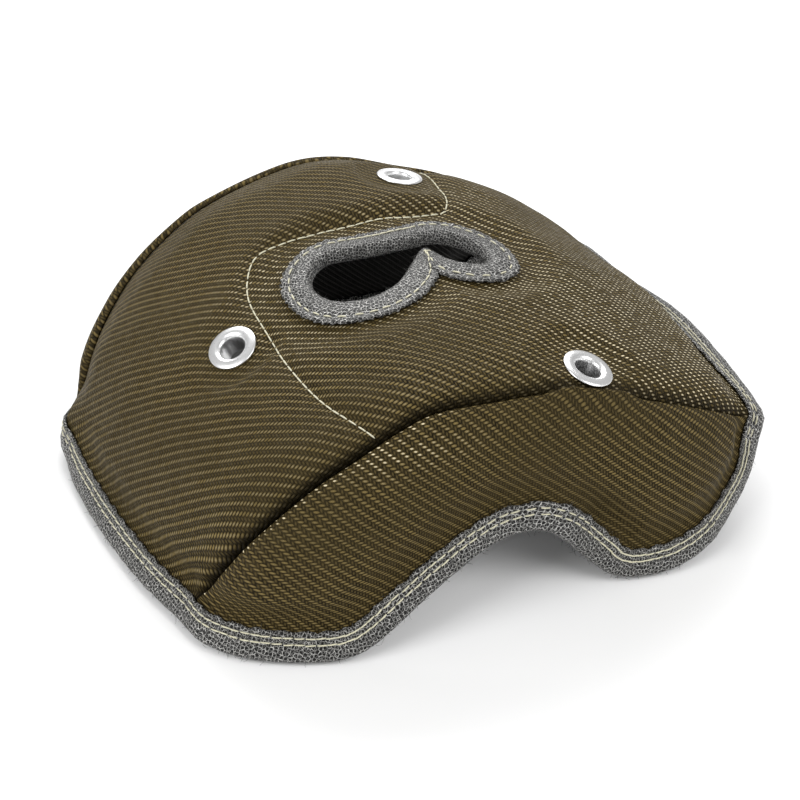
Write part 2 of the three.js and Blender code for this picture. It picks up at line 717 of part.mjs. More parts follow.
for (const s of seats) {
  const base = seatTop + GAP;
  add(`eyelet_${s.name}`, latheAt(s, [
    [R_IN, seatLow - 2 * GAP - WASHER], [R_BARREL, seatLow - 2 * GAP - WASHER], [R_BARREL, base], [R_OUT, base],
    [R_OUT, base + FLANGE - ROUND], [R_OUT - ROUND, base + FLANGE], [R_IN + 2 * ROUND, base + FLANGE],
    [R_IN, base + FLANGE - 2 * ROUND]]), EYELET_COLOUR, 0.25, 0.95);
  const under = seatLow - GAP;
  add(`eyelet_washer_${s.name}`, latheAt(s, [
    [R_BARREL + GAP, under - WASHER], [R_OUT, under - WASHER], [R_OUT, under], [R_BARREL + GAP, under]]),
  EYELET_COLOUR, 0.3, 0.95);
}

export default group;
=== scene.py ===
"""Looks of a turbo heat blanket: twill outer panels, needled insulation, liners, knitted wire tape,
sewing, eyelets and a studio stage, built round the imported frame. Lengths in the text are millimetres."""

import math

import bpy
import numpy as np
from bpy.props import FloatProperty, FloatVectorProperty, IntProperty, PointerProperty
from bpy.types import Operator, Panel, PropertyGroup
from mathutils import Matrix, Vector


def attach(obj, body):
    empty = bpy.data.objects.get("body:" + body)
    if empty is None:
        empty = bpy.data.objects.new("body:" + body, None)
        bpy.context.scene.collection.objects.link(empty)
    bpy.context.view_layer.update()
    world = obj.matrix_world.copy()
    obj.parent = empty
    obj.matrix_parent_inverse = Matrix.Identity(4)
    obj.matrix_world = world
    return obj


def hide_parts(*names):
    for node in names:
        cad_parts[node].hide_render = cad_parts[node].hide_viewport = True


bl_info = {
    "name": "Turbo heat blanket",
    "version": (1, 0, 0),
    "blender": (4, 5, 0),
    "location": "View3D > Sidebar > Blanket",
    "description": "Builds the sewn pieces of a padded turbo heat blanket and a studio stage",
    "category": "Object",
}

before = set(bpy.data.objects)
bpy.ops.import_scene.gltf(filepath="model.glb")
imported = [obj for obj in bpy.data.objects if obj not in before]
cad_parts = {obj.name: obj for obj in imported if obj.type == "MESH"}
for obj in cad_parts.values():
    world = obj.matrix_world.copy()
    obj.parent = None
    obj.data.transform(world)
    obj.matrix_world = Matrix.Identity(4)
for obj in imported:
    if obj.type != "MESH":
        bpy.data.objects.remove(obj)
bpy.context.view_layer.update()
MM = 0.001

# Wall, from the outside in
CLOTH = 0.8
PAD = 1.3
LINER = 0.6
GAP = 0.3
PUFF_OUT = 4.5
PUFF_IN = 3.5
WALL = CLOTH + GAP + PAD + GAP + LINER

# Mesh tape over the rim and over the opening's edge
TAPE = 1.0
TAPE_GAP = 0.6
RIM_LEG = 12.0
OPENING_LEG = 11.5
OPENING_FRONT_LEG = 15.0
OPENING_BACK_LEG = 9.5
OPENING_FLAT = 15.0
OPENING_BLEND = 14.0
MIN_LEG = 3.2
FOLD_RISE = WALL / 2
RIM_TOP = FOLD_RISE + TAPE_GAP
EDGE_INSET = TAPE + TAPE_GAP + 0.4
RIM_ROW_OUTER = 7.2
RIM_ROW_INNER = 9.6
OPENING_ROW = 0.72

# Eyelets
EYELET_OD = 18.5
EYELET_BORE = 9.6
BARREL_WALL = 0.6
EYELET_SEAT = 13.0
SEAT_BLEND = 10.0
SEAT_FADE = 7.0
EYELET_DIMPLE = 0.6
DIMPLE_REACH = 15.0

# Form of the wall
CROWN = 7.5
CROWN_LEAN = 1.15
CROWN_FLATNESS = 0.7
FRONT_BOW = 3.0
BACK_BOW = 6.5
BOW_TURN = 1.6
BOW_FULL_HEIGHT = 75.0
BOW_PEAK = 27 / 4
FRONT_ROLL = 15.0
BACK_ROLL = 26.0
SEAM_TURN = 16.0
HEM_FLAT = RIM_LEG + 1
HEM_BLEND = 14.0
SHIFT = np.array([-0.6337, -18.7717, -0.1294])
FLARE_FRONT = np.array([-0.88, 0.0, 0.47])
FLARE_BACK = np.array([-0.96, 0.0, 0.2])
LEFT_REACH = 0.035
SMOOTHING_PASSES = 6
RIM_COUNTS = (("front", 40), ("right", 15), ("back", 18), ("left", 10))
STEP = 0.004
END = 0.03


def smooth(x):
    c = np.clip(x, 0, 1)
    return c * c * (3 - 2 * c)


def pillow(d, reach):
    c = 1 - np.clip(d / reach, 0, 1)
    return np.sqrt(np.maximum(0, 1 - c * c))


def lerp(a, b, t):
    return a + (b - a) * t


def unit(v):
    return v / np.maximum(np.linalg.norm(v, axis=-1, keepdims=True), 1e-9)


def dot(a, b):
    return (a * b).sum(-1)


class Curve:
    """A smooth line through points, read by its share of arc length."""

    def __init__(self, points, closed=False, fine=40):
        p = np.array(points, float)
        if closed:
            knots, spans = np.vstack([p[-1:], p, p[:2]]), len(p)
        else:
            knots, spans = np.vstack([2 * p[0] - p[1], p, 2 * p[-1] - p[-2]]), len(p) - 1
        k = np.linspace(0, spans, spans * fine + 1)
        i = np.minimum(k.astype(int), spans - 1)
        t = (k - i)[:, None]
        p0, p1, p2, p3 = knots[i], knots[i + 1], knots[i + 2], knots[i + 3]
        m1, m2 = (p2 - p0) / 2, (p3 - p1) / 2
        self.path = (
            (2 * t**3 - 3 * t**2 + 1) * p1 + (t**3 - 2 * t**2 + t) * m1
            + (3 * t**2 - 2 * t**3) * p2 + (t**3 - t**2) * m2
        )
        run = np.linalg.norm(np.diff(self.path, axis=0), axis=1)
        self.length = run.sum()
        self.share = np.concatenate([[0], np.cumsum(run)]) / self.length

    def at(self, u):
        return np.stack([np.interp(u, self.share, self.path[:, k]) for k in range(self.path.shape[1])], -1)


FL, FR, BR, BL = (-108, -41, 1), (118, -60, 33), (105, 93, 41), (-119, 74, 4)
CORNERS = [np.array(c, float) for c in (FL, FR, BL, BR)]
left_hem = Curve([
    FL, (-113.5, -22, 1), (-117.8, 1, 1), (-120.8, 26, 1), (-121.5, 52, 1), BL])
right_hem = Curve([
    FR, (119.5, -48, 36), (123.3, -23, 37), (123.5, 7, 39.5), (117.5, 36, 41), (112, 66, 43.5), BR])
front_seam = Curve([
    FL, (-102.5, -44, 9), (-95, -52, 26), (-86.5, -59, 42), (-75.5, -63, 54), (-63, -64.5, 63),
    (-50.5, -65, 69), (-35, -65, 76), (-21, -65, 80), (1, -66, 79), (19.5, -67, 77.5), (38, -69, 73.5),
    (61, -70, 64.5), (90, -68, 50), (109, -63, 38), FR])
back_seam = Curve([
    BL, (-115.5, 77, 9), (-101.3, 91, 34), (-87, 102, 48.5), (-71.5, 109, 60.5), (-52.5, 112, 72.8),
    (-39.5, 113, 78.3), (-16.5, 114, 84.5), (1, 112, 88), (19, 109, 86.6), (37, 105, 81.2), (60, 100, 73.5),
    (84, 96, 57.5), BR])
front_rim = Curve([
    FL, (-104, -56, 1), (-94, -68, 1), (-81, -76, 1), (-66, -82, 1), (-54, -84, 4),
    (-38, -83, 14), (-25, -81, 21),
    (-11, -79, 27), (1, -78, 30), (13, -80, 30), (22, -82, 23), (31, -82.5, 12.5), (41, -85, 3), (53, -88, 1),
    (66, -89, 1.5), (80, -86, 4), (95, -77, 8), (109, -68, 17), FR])
back_rim = Curve([
    BL, (-112, 84, 1), (-96, 98, 1), (-73, 112, 1), (-38, 121, 1), (0, 124, 1), (35, 123, 1), (64, 119, 5),
    (90, 110, 20), BR])

FACE_DEPTH = left_hem.length * 1.35


def face_base(u, v):
    u, v = np.clip(u, 0, 1), np.clip(v, 0, 1)
    a, b = u[..., None], v[..., None]
    corners = lerp(lerp(CORNERS[0], CORNERS[1], a), lerp(CORNERS[2], CORNERS[3], a), b)
    p = lerp(front_seam.at(u), back_seam.at(u), b) + lerp(left_hem.at(v), right_hem.at(v), a) - corners
    p[..., 2] += CROWN * np.abs(np.sin(np.pi * v**CROWN_LEAN)) ** CROWN_FLATNESS * np.sin(np.pi * u)
    return p


def band_base(seam, rim, bow, side, s, t):
    a, b = seam.at(np.clip(s, 0, 1)), rim.at(np.clip(s, 0, 1))
    turn = (s - 0.5) * BOW_TURN
    swell = BOW_PEAK * bow * t * (1 - t) ** 2 * smooth(np.linalg.norm(a - b, axis=-1) / BOW_FULL_HEIGHT)
    way = np.stack([swell * np.sin(turn), side * swell * np.cos(turn), np.zeros_like(swell)], -1)
    return lerp(a, b, t[..., None]) + way


def front_base(s, t):
    return band_base(front_seam, front_rim, FRONT_BOW, -1, s, t)


def back_base(s, t):
    return band_base(back_seam, back_rim, BACK_BOW, 1, s, t)


def normal_of(surface, a, b, sign):
    a0, a1 = np.maximum(0, a - STEP), np.minimum(1, a + STEP)
    b0, b1 = np.maximum(0, b - STEP), np.minimum(1, b + STEP)
    return unit(np.cross(surface(a1, b) - surface(a0, b), surface(a, b1) - surface(a, b0))) * sign


def face_normal(u, v):
    return normal_of(face_base, u, v, 1)


def front_normal(s, t):
    return normal_of(front_base, s, t, -1)


def back_normal(s, t):
    return normal_of(back_base, s, t, 1)


def mitre(a, b):
    return (a + b) / (1 + dot(a, b))[..., None]


def seam_mitre(s, v, normal):
    k = np.clip(s, END, 1 - END)
    return mitre(face_normal(k, np.full_like(k, v)), normal(k, np.zeros_like(k)))


def rim_frames():
    """Fold point, direction into the panel and outward normal at each station of the rim."""
    points, inward = [], []

    def edge(count, point, reach):
        k = np.arange(count) / count
        points.append(point(k))
        inward.append(unit(reach(k) - point(k)))

    def up(seam, rim, k):
        c = np.clip(k, END, 1 - END)
        return seam.at(c) - rim.at(c) + rim.at(k)

    counts = dict(RIM_COUNTS)
    edge(counts["front"], front_rim.at, lambda k: up(front_seam, front_rim, k))
    edge(counts["right"], right_hem.at, lambda k: right_hem.at(k) + lerp(FLARE_FRONT, FLARE_BACK, k[:, None]))
    edge(counts["back"], lambda k: back_rim.at(1 - k), lambda k: up(back_seam, back_rim, 1 - k))
    edge(counts["left"], lambda k: left_hem.at(1 - k),
         lambda k: face_base(np.full_like(k, LEFT_REACH), 1 - k))
    p, d = np.vstack(points), np.vstack(inward)
    for _ in range(SMOOTHING_PASSES):
        d = unit(2 * d + np.roll(d, 1, 0) + np.roll(d, -1, 0))
    tangent = unit(np.roll(p, -1, 0) - np.roll(p, 1, 0))
    w = unit(d - tangent * dot(d, tangent)[:, None])
    return p, w, np.cross(tangent, w)


RIM_P, RIM_W, RIM_N = rim_frames()


def nearest_on_path(x, starts, ends):
    """Distance to a path of segments, with the nearest segment and the share along it."""
    best = np.full(len(x), np.inf)
    seg, share = np.zeros(len(x), int), np.zeros(len(x))
    for i, (a, d) in enumerate(zip(starts, ends - starts)):
        t = np.clip(((x - a) @ d) / (d @ d), 0, 1)
        dist = np.linalg.norm(x - a - t[:, None] * d, axis=1)
        near = dist < best
        best[near], seg[near], share[near] = dist[near], i, t[near]
    return best, seg, share


def nearest_on_loop(x, loop):
    return nearest_on_path(x, loop, np.roll(loop, -1, 0))


OPENING = [
    (-31.5, 13), (-29, 6), (-23.5, 1), (-15.5, -0.5), (-5, 3), (4, 11), (9.5, 16.5), (13, 19.5), (16, 16),
    (18.5, 10.5), (23, 6.5), (29.5, 4.5),
    (34, 7), (36, 13), (34, 19.5), (27, 25.5), (20, 27), (13, 26), (5, 26),
    (-3, 27), (-13, 29.5), (-21.5, 31), (-28.5, 26.5), (-31.5, 20)]
OPENING_STATIONS = 52
opening_loop = Curve(OPENING, closed=True).at(np.arange(OPENING_STATIONS) / OPENING_STATIONS)


def plan_distance(x):
    return nearest_on_loop(x[:, :2], opening_loop)[0]


def inside_loop(x, loop):
    """True where a plan point lies in the loop."""
    a, b = loop, np.roll(loop, -1, 0)
    inside = np.zeros(len(x), bool)
    for (ax, ay), (bx, by) in zip(a, b):
        if ay != by:
            spans = (ay > x[:, 1]) != (by > x[:, 1])
            inside ^= spans & (x[:, 0] < (bx - ax) * (x[:, 1] - ay) / (by - ay) + ax)
    return inside


def face_at(x, y):
    """The face panel's own coordinates under plan positions."""
    u, v = np.full_like(x, 0.5), np.full_like(x, 0.5)
    d = 0.002
    for _ in range(30):
        p = face_base(u, v)
        pu, pv = (face_base(u + d, v) - p) / d, (face_base(u, v + d) - p) / d
        det = pu[..., 0] * pv[..., 1] - pv[..., 0] * pu[..., 1]
        ex, ey = x - p[..., 0], y - p[..., 1]
        u = np.clip(u + (ex * pv[..., 1] - ey * pv[..., 0]) / det, 0.01, 0.99)
        v = np.clip(v + (ey * pu[..., 0] - ex * pu[..., 1]) / det, 0.01, 0.99)
    return u, v


EYELETS = (
    ("left", (-64.5, 13.5), (-0.43, -0.18, 0.88)),
    ("top", (28.5, 75.5), (0.19, 0.08, 0.98)),
    ("right", (39.0, -60.0), (0.28, -0.21, 0.94)))


def eyelet_seats():
    found = []
    for name, (x, y), axis in EYELETS:
        u, v = face_at(np.array([x]), np.array([y]))
        found.append((name, face_base(u, v)[0], unit(np.array(axis))))
    return found


SEATS = eyelet_seats()

QUILT = Curve([
    (-41, -64), (-49, -42), (-52.5, -16.5), (-53, 11), (-51.5, 33), (-43, 47.5), (-31.5, 50.5), (-17, 49.5),
    (2, 46), (29.5, 45), (37, 50), (42.5, 72), (43, 94)])
QUILT_LINE = QUILT.at(np.linspace(0, 1, 120))


def quilt_distance(x):
    return nearest_on_path(x[:, :2], QUILT_LINE[:-1], QUILT_LINE[1:])[0]


def wall_point(base, normal, seam_dir, seam_d, seam_swell, seat, h, swell, relief=None):
    """A point of the wall; h counts from the pinched outer surface, swell scales the fullness added to it,
    and seat says how far the eyelets press it flat."""
    x = base.copy()
    way = lerp(seam_dir, normal, smooth(seam_d / SEAM_TURN)[:, None])
    d, seg, share = nearest_on_loop(x, RIM_P)
    nxt = (seg + 1) % len(RIM_P)
    rp = lerp(RIM_P[seg], RIM_P[nxt], share[:, None])
    rn = unit(lerp(RIM_N[seg], RIM_N[nxt], share[:, None]))
    flat = 1 - smooth((d - HEM_FLAT) / HEM_BLEND)
    lift = dot(x - rp, rn) - FOLD_RISE
    x -= rn * (lift * flat)[:, None]
    way = lerp(way, rn, flat[:, None])
    full = smooth((plan_distance(x) - OPENING_FLAT) / OPENING_BLEND) * smooth((d - HEM_FLAT) / HEM_BLEND)
    for _, c, n in SEATS:
        full = full * (1 - EYELET_DIMPLE * np.exp(-((np.linalg.norm(x - c, axis=1) / DIMPLE_REACH) ** 4)))
    total = swell * seam_swell * full
    for _, c, n in SEATS:
        w = seat * (1 - smooth((np.linalg.norm(x - c, axis=1) - EYELET_SEAT) / SEAT_BLEND))
        x -= n * (dot(x - c, n) * w)[:, None]
        way = lerp(way, n, w[:, None])
        total = total + (swell * (1 - EYELET_DIMPLE) - total) * w
    if relief is not None:
        total = total + relief(x, seam_d, d)
    return x + way * (h + total)[:, None]


# How far the face sinks behind the bands at its seams
TUCK_LEFT = 3.6
TUCK_RIGHT = 1.8
TUCK_WIDTH = 5.5
RIPPLE_HEIGHT = 0.22
RELIEF_BLEND = 6.0
QUILT_FADE = 8.0
# Depth and half width of the quilting line's furrow and of the hollow round it
QUILT_VALLEY = ((1.0, 1.8), (0.7, 6.0))

# Top and low skin of each layer: height on the pinched wall, and fullness added
COVER = (0.0, PUFF_OUT), (-CLOTH, PUFF_OUT)
FELT = (-CLOTH - GAP, PUFF_OUT), (-CLOTH - GAP - PAD, -PUFF_IN)
LINING = (-CLOTH - PAD - 2 * GAP, -PUFF_IN), (-WALL, -PUFF_IN)


def quilt_valley(x):
    q = quilt_distance(x)
    return -sum(depth * np.exp(-((q / width) ** 2)) for depth, width in QUILT_VALLEY)


def off_hem(rim_d):
    return smooth((rim_d - HEM_FLAT) / RELIEF_BLEND)


def face_tuck(x, seam_d, rim_d):
    """The face rolls under behind the edge of the band, deepest on the left."""
    depth = lerp(TUCK_LEFT, TUCK_RIGHT, smooth((x[:, 0] + 70) / 110))
    return -depth * np.clip(1 - seam_d / TUCK_WIDTH, 0, 1) ** 1.3 * smooth((rim_d - RIM_LEG) / 3)


def pad_relief(x, seam_d, rim_d):
    return quilt_valley(x) * off_hem(rim_d) * smooth(seam_d / QUILT_FADE) + face_tuck(x, seam_d, rim_d)


def ripple(x):
    px, py = x[:, 0], x[:, 1]
    return RIPPLE_HEIGHT * np.sin(px * 0.21 + 1.3 * np.sin(py * 0.11)) * np.cos(py * 0.17 + px * 0.05)


def cloth_relief(x, seam_d, rim_d):
    """Sewn valleys, the tuck into the seams and soft creases, in millimetres along the wall's normal."""
    body = off_hem(rim_d)
    soft = quilt_valley(x) * smooth(seam_d / QUILT_FADE) + ripple(x) * smooth(seam_d / 12)
    return soft * body + face_tuck(x, seam_d, rim_d)


# How far the band's cut edge turns down at the seam, and how wide
EDGE_TURN = 0.4
EDGE_WIDTH = 1.4


def band_relief(x, seam_d, rim_d):
    """A shallow turn at the seam and soft creases."""
    turn = -EDGE_TURN * np.clip(1 - seam_d / EDGE_WIDTH, 0, 1) ** 1.5
    return (turn + ripple(x) * smooth(seam_d / 10)) * off_hem(rim_d)


def face_place(u, v, layer, relief=None):
    d_front, d_back = v * FACE_DEPTH, (1 - v) * FACE_DEPTH
    front = v < 0.5
    seam_dir = np.where(front[:, None], seam_mitre(u, 0.0, front_normal), seam_mitre(u, 1.0, back_normal))
    seam_d = np.where(front, d_front, d_back)
    seam_swell = np.where(front, pillow(d_front, FRONT_ROLL), smooth(d_back / BACK_ROLL))
    return wall_point(face_base(u, v), face_normal(u, v), seam_dir, seam_d, seam_swell, 1.0, *layer, relief)


def band_place(base, normal, face_edge, s, t, layer, relief=None):
    height = np.linalg.norm(base(s, np.zeros_like(s)) - base(s, np.ones_like(s)), axis=1)
    d = t * height
    k = np.clip(s, END, 1 - END)
    seat = 1 - smooth(d / SEAT_FADE)
    way = seam_mitre(s, face_edge, normal)
    return wall_point(base(s, t), normal(k, t), way, d, pillow(d, FRONT_ROLL), seat, *layer, relief)


# ---- cloth coordinates


def yarn_field():
    """Arc lengths along X and along Y from the middle of the face, on a plan grid."""
    cell = 3.0
    xs, ys = np.arange(-132, 133, cell), np.arange(-78, 127, cell)
    u, v = (k.ravel() for k in np.meshgrid(np.linspace(0, 1, 500), np.linspace(0, 1, 400)))
    p = face_base(u, v)
    at = (np.rint((p[:, 0] - xs[0]) / cell).astype(int), np.rint((p[:, 1] - ys[0]) / cell).astype(int))
    total, count = np.zeros((len(xs), len(ys))), np.zeros((len(xs), len(ys)))
    np.add.at(total, at, p[:, 2])
    np.add.at(count, at, 1)
    z = np.where(count > 0, total / np.maximum(count, 1), 40.0)

    def soften(z):
        return (np.roll(z, 1, 0) + np.roll(z, -1, 0) + np.roll(z, 1, 1) + np.roll(z, -1, 1)) / 4

    for _ in range(300):
        z = np.where(count > 0, z, soften(z))
    for _ in range(8):
        z = (z + soften(z)) / 2
    along_x, along_y = (np.cumsum(np.sqrt(1 + slope**2), axis) * cell
                        for axis, slope in enumerate(np.gradient(z, cell)))
    along_x -= along_x[len(xs) // 2]
    along_y -= along_y[:, len(ys) // 2][:, None]
    return xs, ys, along_x, along_y


def read_grid(xs, ys, grid, p):
    fx = np.clip((p[:, 0] - xs[0]) / (xs[1] - xs[0]), 0, len(xs) - 1.001)
    fy = np.clip((p[:, 1] - ys[0]) / (ys[1] - ys[0]), 0, len(ys) - 1.001)
    i, j = fx.astype(int), fy.astype(int)
    a, b = fx - i, fy - j
    return (grid[i, j] * (1 - a) * (1 - b) + grid[i + 1, j] * a * (1 - b)
            + grid[i, j + 1] * (1 - a) * b + grid[i + 1, j + 1] * a * b)


def face_cloth_uv(u, v):
    xs, ys, along_x, along_y = yarn_field()
    p = face_base(u, v)
    return np.stack([read_grid(xs, ys, along_x, p), read_grid(xs, ys, along_y, p)], -1)


# Slope of the bands: cloth length for each unit of height
BAND_SLOPE = 1.08


def band_cloth_uv(rim, base, s, t):
    plan = rim.path[:, :2]
    run = np.concatenate([[0], np.cumsum(np.linalg.norm(np.diff(plan, axis=0), axis=1))])
    order = np.argsort(plan[:, 0])
    along = np.interp(base(s, t)[:, 0], plan[order, 0], run[order])
    return np.stack([along, BAND_SLOPE * base(s, t)[:, 2]], -1)


# ---- mesh helpers


def select_none():
    if bpy.context.object is not None and bpy.context.object.mode != "OBJECT":
        bpy.ops.object.mode_set(mode="OBJECT")
    bpy.ops.object.select_all(action="DESELECT")


def edit_all():
    bpy.ops.object.mode_set(mode="EDIT")
    bpy.ops.mesh.select_all(action="SELECT")


def close_edit():
    """Turns every face outwards and leaves edit mode."""
    bpy.ops.mesh.select_all(action="SELECT")
    bpy.ops.mesh.normals_make_consistent(inside=False)
    bpy.ops.object.mode_set(mode="OBJECT")


def coords(mesh):
    co = np.zeros(len(mesh.vertices) * 3, np.float32)
    mesh.vertices.foreach_get("co", co)
    return co.reshape(-1, 3).astype(float)


def set_coords(mesh, mm):
    mesh.vertices.foreach_set("co", ((mm + SHIFT) * MM).astype(np.float32).ravel())
    mesh.update()


def corners_of(mesh):
    """The vertex of each face corner."""
    loops = np.zeros(len(mesh.loops), np.int32)
    mesh.loops.foreach_get("vertex_index", loops)
    return loops


def set_uv(mesh, per_vertex_mm):
    """Writes cloth coordinates, in metres, to the piece's UV map."""
    layer = mesh.uv_layers[0] if mesh.uv_layers else mesh.uv_layers.new(name="cloth")
    loops = corners_of(mesh)
    layer.data.foreach_set("uv", (per_vertex_mm[loops] * MM).astype(np.float32).ravel())


def set_attribute(mesh, name, values):
    a = mesh.attributes.new(name, "FLOAT", "POINT")
    a.data.foreach_set("value", values.astype(np.float32))


def spread(k, crowd=0.65):
    """Grid shares crowded towards both ends, where the cloth turns."""
    return k - crowd * np.sin(2 * np.pi * k) / (2 * np.pi)


def shell(name, across, along, place, top, low, cloth_uv, hole=None, crowd=0.65, marks=None):
    """A closed sheet: a grid is opened at its holes, extruded to two skins and laid on the wall."""
    select_none()
    bpy.ops.mesh.primitive_grid_add(x_subdivisions=across, y_subdivisions=along, size=1, calc_uvs=True)
    piece = bpy.context.object
    piece.name = piece.data.name = name
    if hole is not None:
        k = coords(piece.data) + 0.5
        u, v = k[:, 0], spread(k[:, 1], crowd)
        gone = hole(u, v)
        bpy.ops.object.mode_set(mode="EDIT")
        bpy.ops.mesh.select_mode(type="VERT")
        bpy.ops.mesh.select_all(action="DESELECT")
        bpy.ops.object.mode_set(mode="OBJECT")
        for vertex, out in zip(piece.data.vertices, gone):
            vertex.select = bool(out)
        bpy.ops.object.mode_set(mode="EDIT")
        bpy.ops.mesh.delete(type="VERT")
    edit_all()
    bpy.ops.mesh.extrude_region_move(TRANSFORM_OT_translate={"value": (0, 0, 1)})
    close_edit()
    k = coords(piece.data)
    u, v, upper = k[:, 0] + 0.5, spread(k[:, 1] + 0.5, crowd), k[:, 2] > 0.5
    placed = np.where(upper[:, None], place(u, v, top), place(u, v, low))
    set_coords(piece.data, placed)
    set_uv(piece.data, cloth_uv(u, v))
    if marks is not None:
        for key, values in marks(u, v, placed).items():
            set_attribute(piece.data, key, values)
    bpy.ops.object.shade_smooth()
    return piece


def loop_piece(name, stations, around, place, uv):
    """A closed band: a ring primitive whose section is laid on frames round a loop."""
    select_none()
    bpy.ops.mesh.primitive_torus_add(
        major_segments=stations, minor_segments=around,
        major_radius=1.0, minor_radius=0.25, generate_uvs=True)
    piece = bpy.context.object
    piece.name = piece.data.name = name
    k = coords(piece.data)
    turn = np.mod(np.arctan2(k[:, 1], k[:, 0]) / (2 * np.pi), 1)
    roll = np.mod(np.arctan2(k[:, 2], np.hypot(k[:, 0], k[:, 1]) - 1) / (2 * np.pi), 1)
    turn = np.mod(np.round(turn * stations), stations) / stations
    roll = np.mod(np.round(roll * around), around) / around
    set_coords(piece.data, place(turn, roll))
    layer = piece.data.uv_layers[0]
    loops = corners_of(piece.data)
    t, r = turn[loops].reshape(-1, 4), roll[loops].reshape(-1, 4)
    t = np.where((t.max(1) - t.min(1) > 0.5)[:, None] & (t < 0.5), t + 1, t)
    r = np.where((r.max(1) - r.min(1) > 0.5)[:, None] & (r < 0.5), r + 1, r)
    layer.data.foreach_set("uv", (uv(t.ravel(), r.ravel()) * MM).astype(np.float32).ravel())
    bpy.ops.object.shade_smooth()
    return piece


def piece_from(name, mm, faces, uv_name):
    """A piece made of points and faces, with an empty UV map."""
    mesh = bpy.data.meshes.new(name)
    mesh.from_pydata((mm + SHIFT) * MM, [], faces)
    mesh.uv_layers.new(name=uv_name)
    piece = bpy.data.objects.new(name, mesh)
    bpy.context.scene.collection.objects.link(piece)
    return piece


def finish_piece(piece, slot, material, *nodes):
    piece.data.materials.clear()
    piece.data.materials.append(material)
    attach(piece, "root")
    if nodes:
        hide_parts(*nodes)
    return piece


# ---- shader nodes


class Graph:
    """Adds nodes to a tree and joins them."""

    def __init__(self, tree):
        self.tree = tree
        tree.nodes.clear()

    def add(self, kind, **settings):
        node = self.tree.nodes.new(kind)
        for key, value in settings.items():
            setattr(node, key, value)
        return node

    def put(self, socket, value):
        if isinstance(value, bpy.types.NodeSocket):
            self.tree.links.new(value, socket)
        else:
            socket.default_value = value

    def fill(self, node, *pairs):
        for key, value in pairs:
            self.put(node.inputs[key], value)
        return node.outputs

    def math(self, operation, *values):
        node = self.add("ShaderNodeMath", operation=operation)
        for socket, value in zip(node.inputs, values):
            self.put(socket, value)
        return node.outputs[0]

    def mul(self, a, b):
        return self.math("MULTIPLY", a, b)

    def steps(self, value, low, high):
        node = self.add("ShaderNodeMapRange", interpolation_type="SMOOTHSTEP")
        return self.fill(node, ("Value", value), ("From Min", low), ("From Max", high))[0]

    def mix(self, factor, a, b):
        node = self.add("ShaderNodeMix", data_type="RGBA")
        return self.fill(node, (0, factor), (6, a), (7, b))[2]

    def split(self, vector):
        node = self.add("ShaderNodeSeparateXYZ")
        self.put(node.inputs[0], vector)
        return node.outputs

    def join(self, x=0.0, y=0.0, z=0.0):
        node = self.add("ShaderNodeCombineXYZ")
        for socket, value in zip(node.inputs, (x, y, z)):
            self.put(socket, value)
        return node.outputs[0]

    def noise(self, vector, scale, detail=2.0, rough=0.5):
        node = self.add("ShaderNodeTexNoise", noise_dimensions="3D")
        pairs = ("Vector", vector), ("Scale", scale), ("Detail", detail), ("Roughness", rough)
        return self.fill(node, *pairs)[0]

    def scatter(self, vector):
        node = self.add("ShaderNodeTexWhiteNoise", noise_dimensions="3D")
        return self.fill(node, ("Vector", vector))["Value"]

    def uv(self):
        return self.add("ShaderNodeUVMap").outputs[0]

    def place(self):
        return self.add("ShaderNodeTexCoord").outputs["Object"]

    def mark(self, name):
        return self.add("ShaderNodeAttribute", attribute_name=name).outputs["Fac"]

    def group(self, tree, **inputs):
        node = self.add("ShaderNodeGroup", node_tree=tree)
        for key, value in inputs.items():
            self.put(node.inputs[key.replace("_", " ")], value)
        return node.outputs


def new_group(name, inputs, outputs):
    tree = bpy.data.node_groups.new(name, "ShaderNodeTree")
    for key, kind, value in inputs:
        socket = tree.interface.new_socket(key, in_out="INPUT", socket_type=kind)
        if value is not None:
            socket.default_value = value
    for key, kind in outputs:
        tree.interface.new_socket(key, in_out="OUTPUT", socket_type=kind)
    g = Graph(tree)
    return g, g.add("NodeGroupInput").outputs, g.add("NodeGroupOutput").inputs


FLOAT, VECTOR = "NodeSocketFloat", "NodeSocketVector"


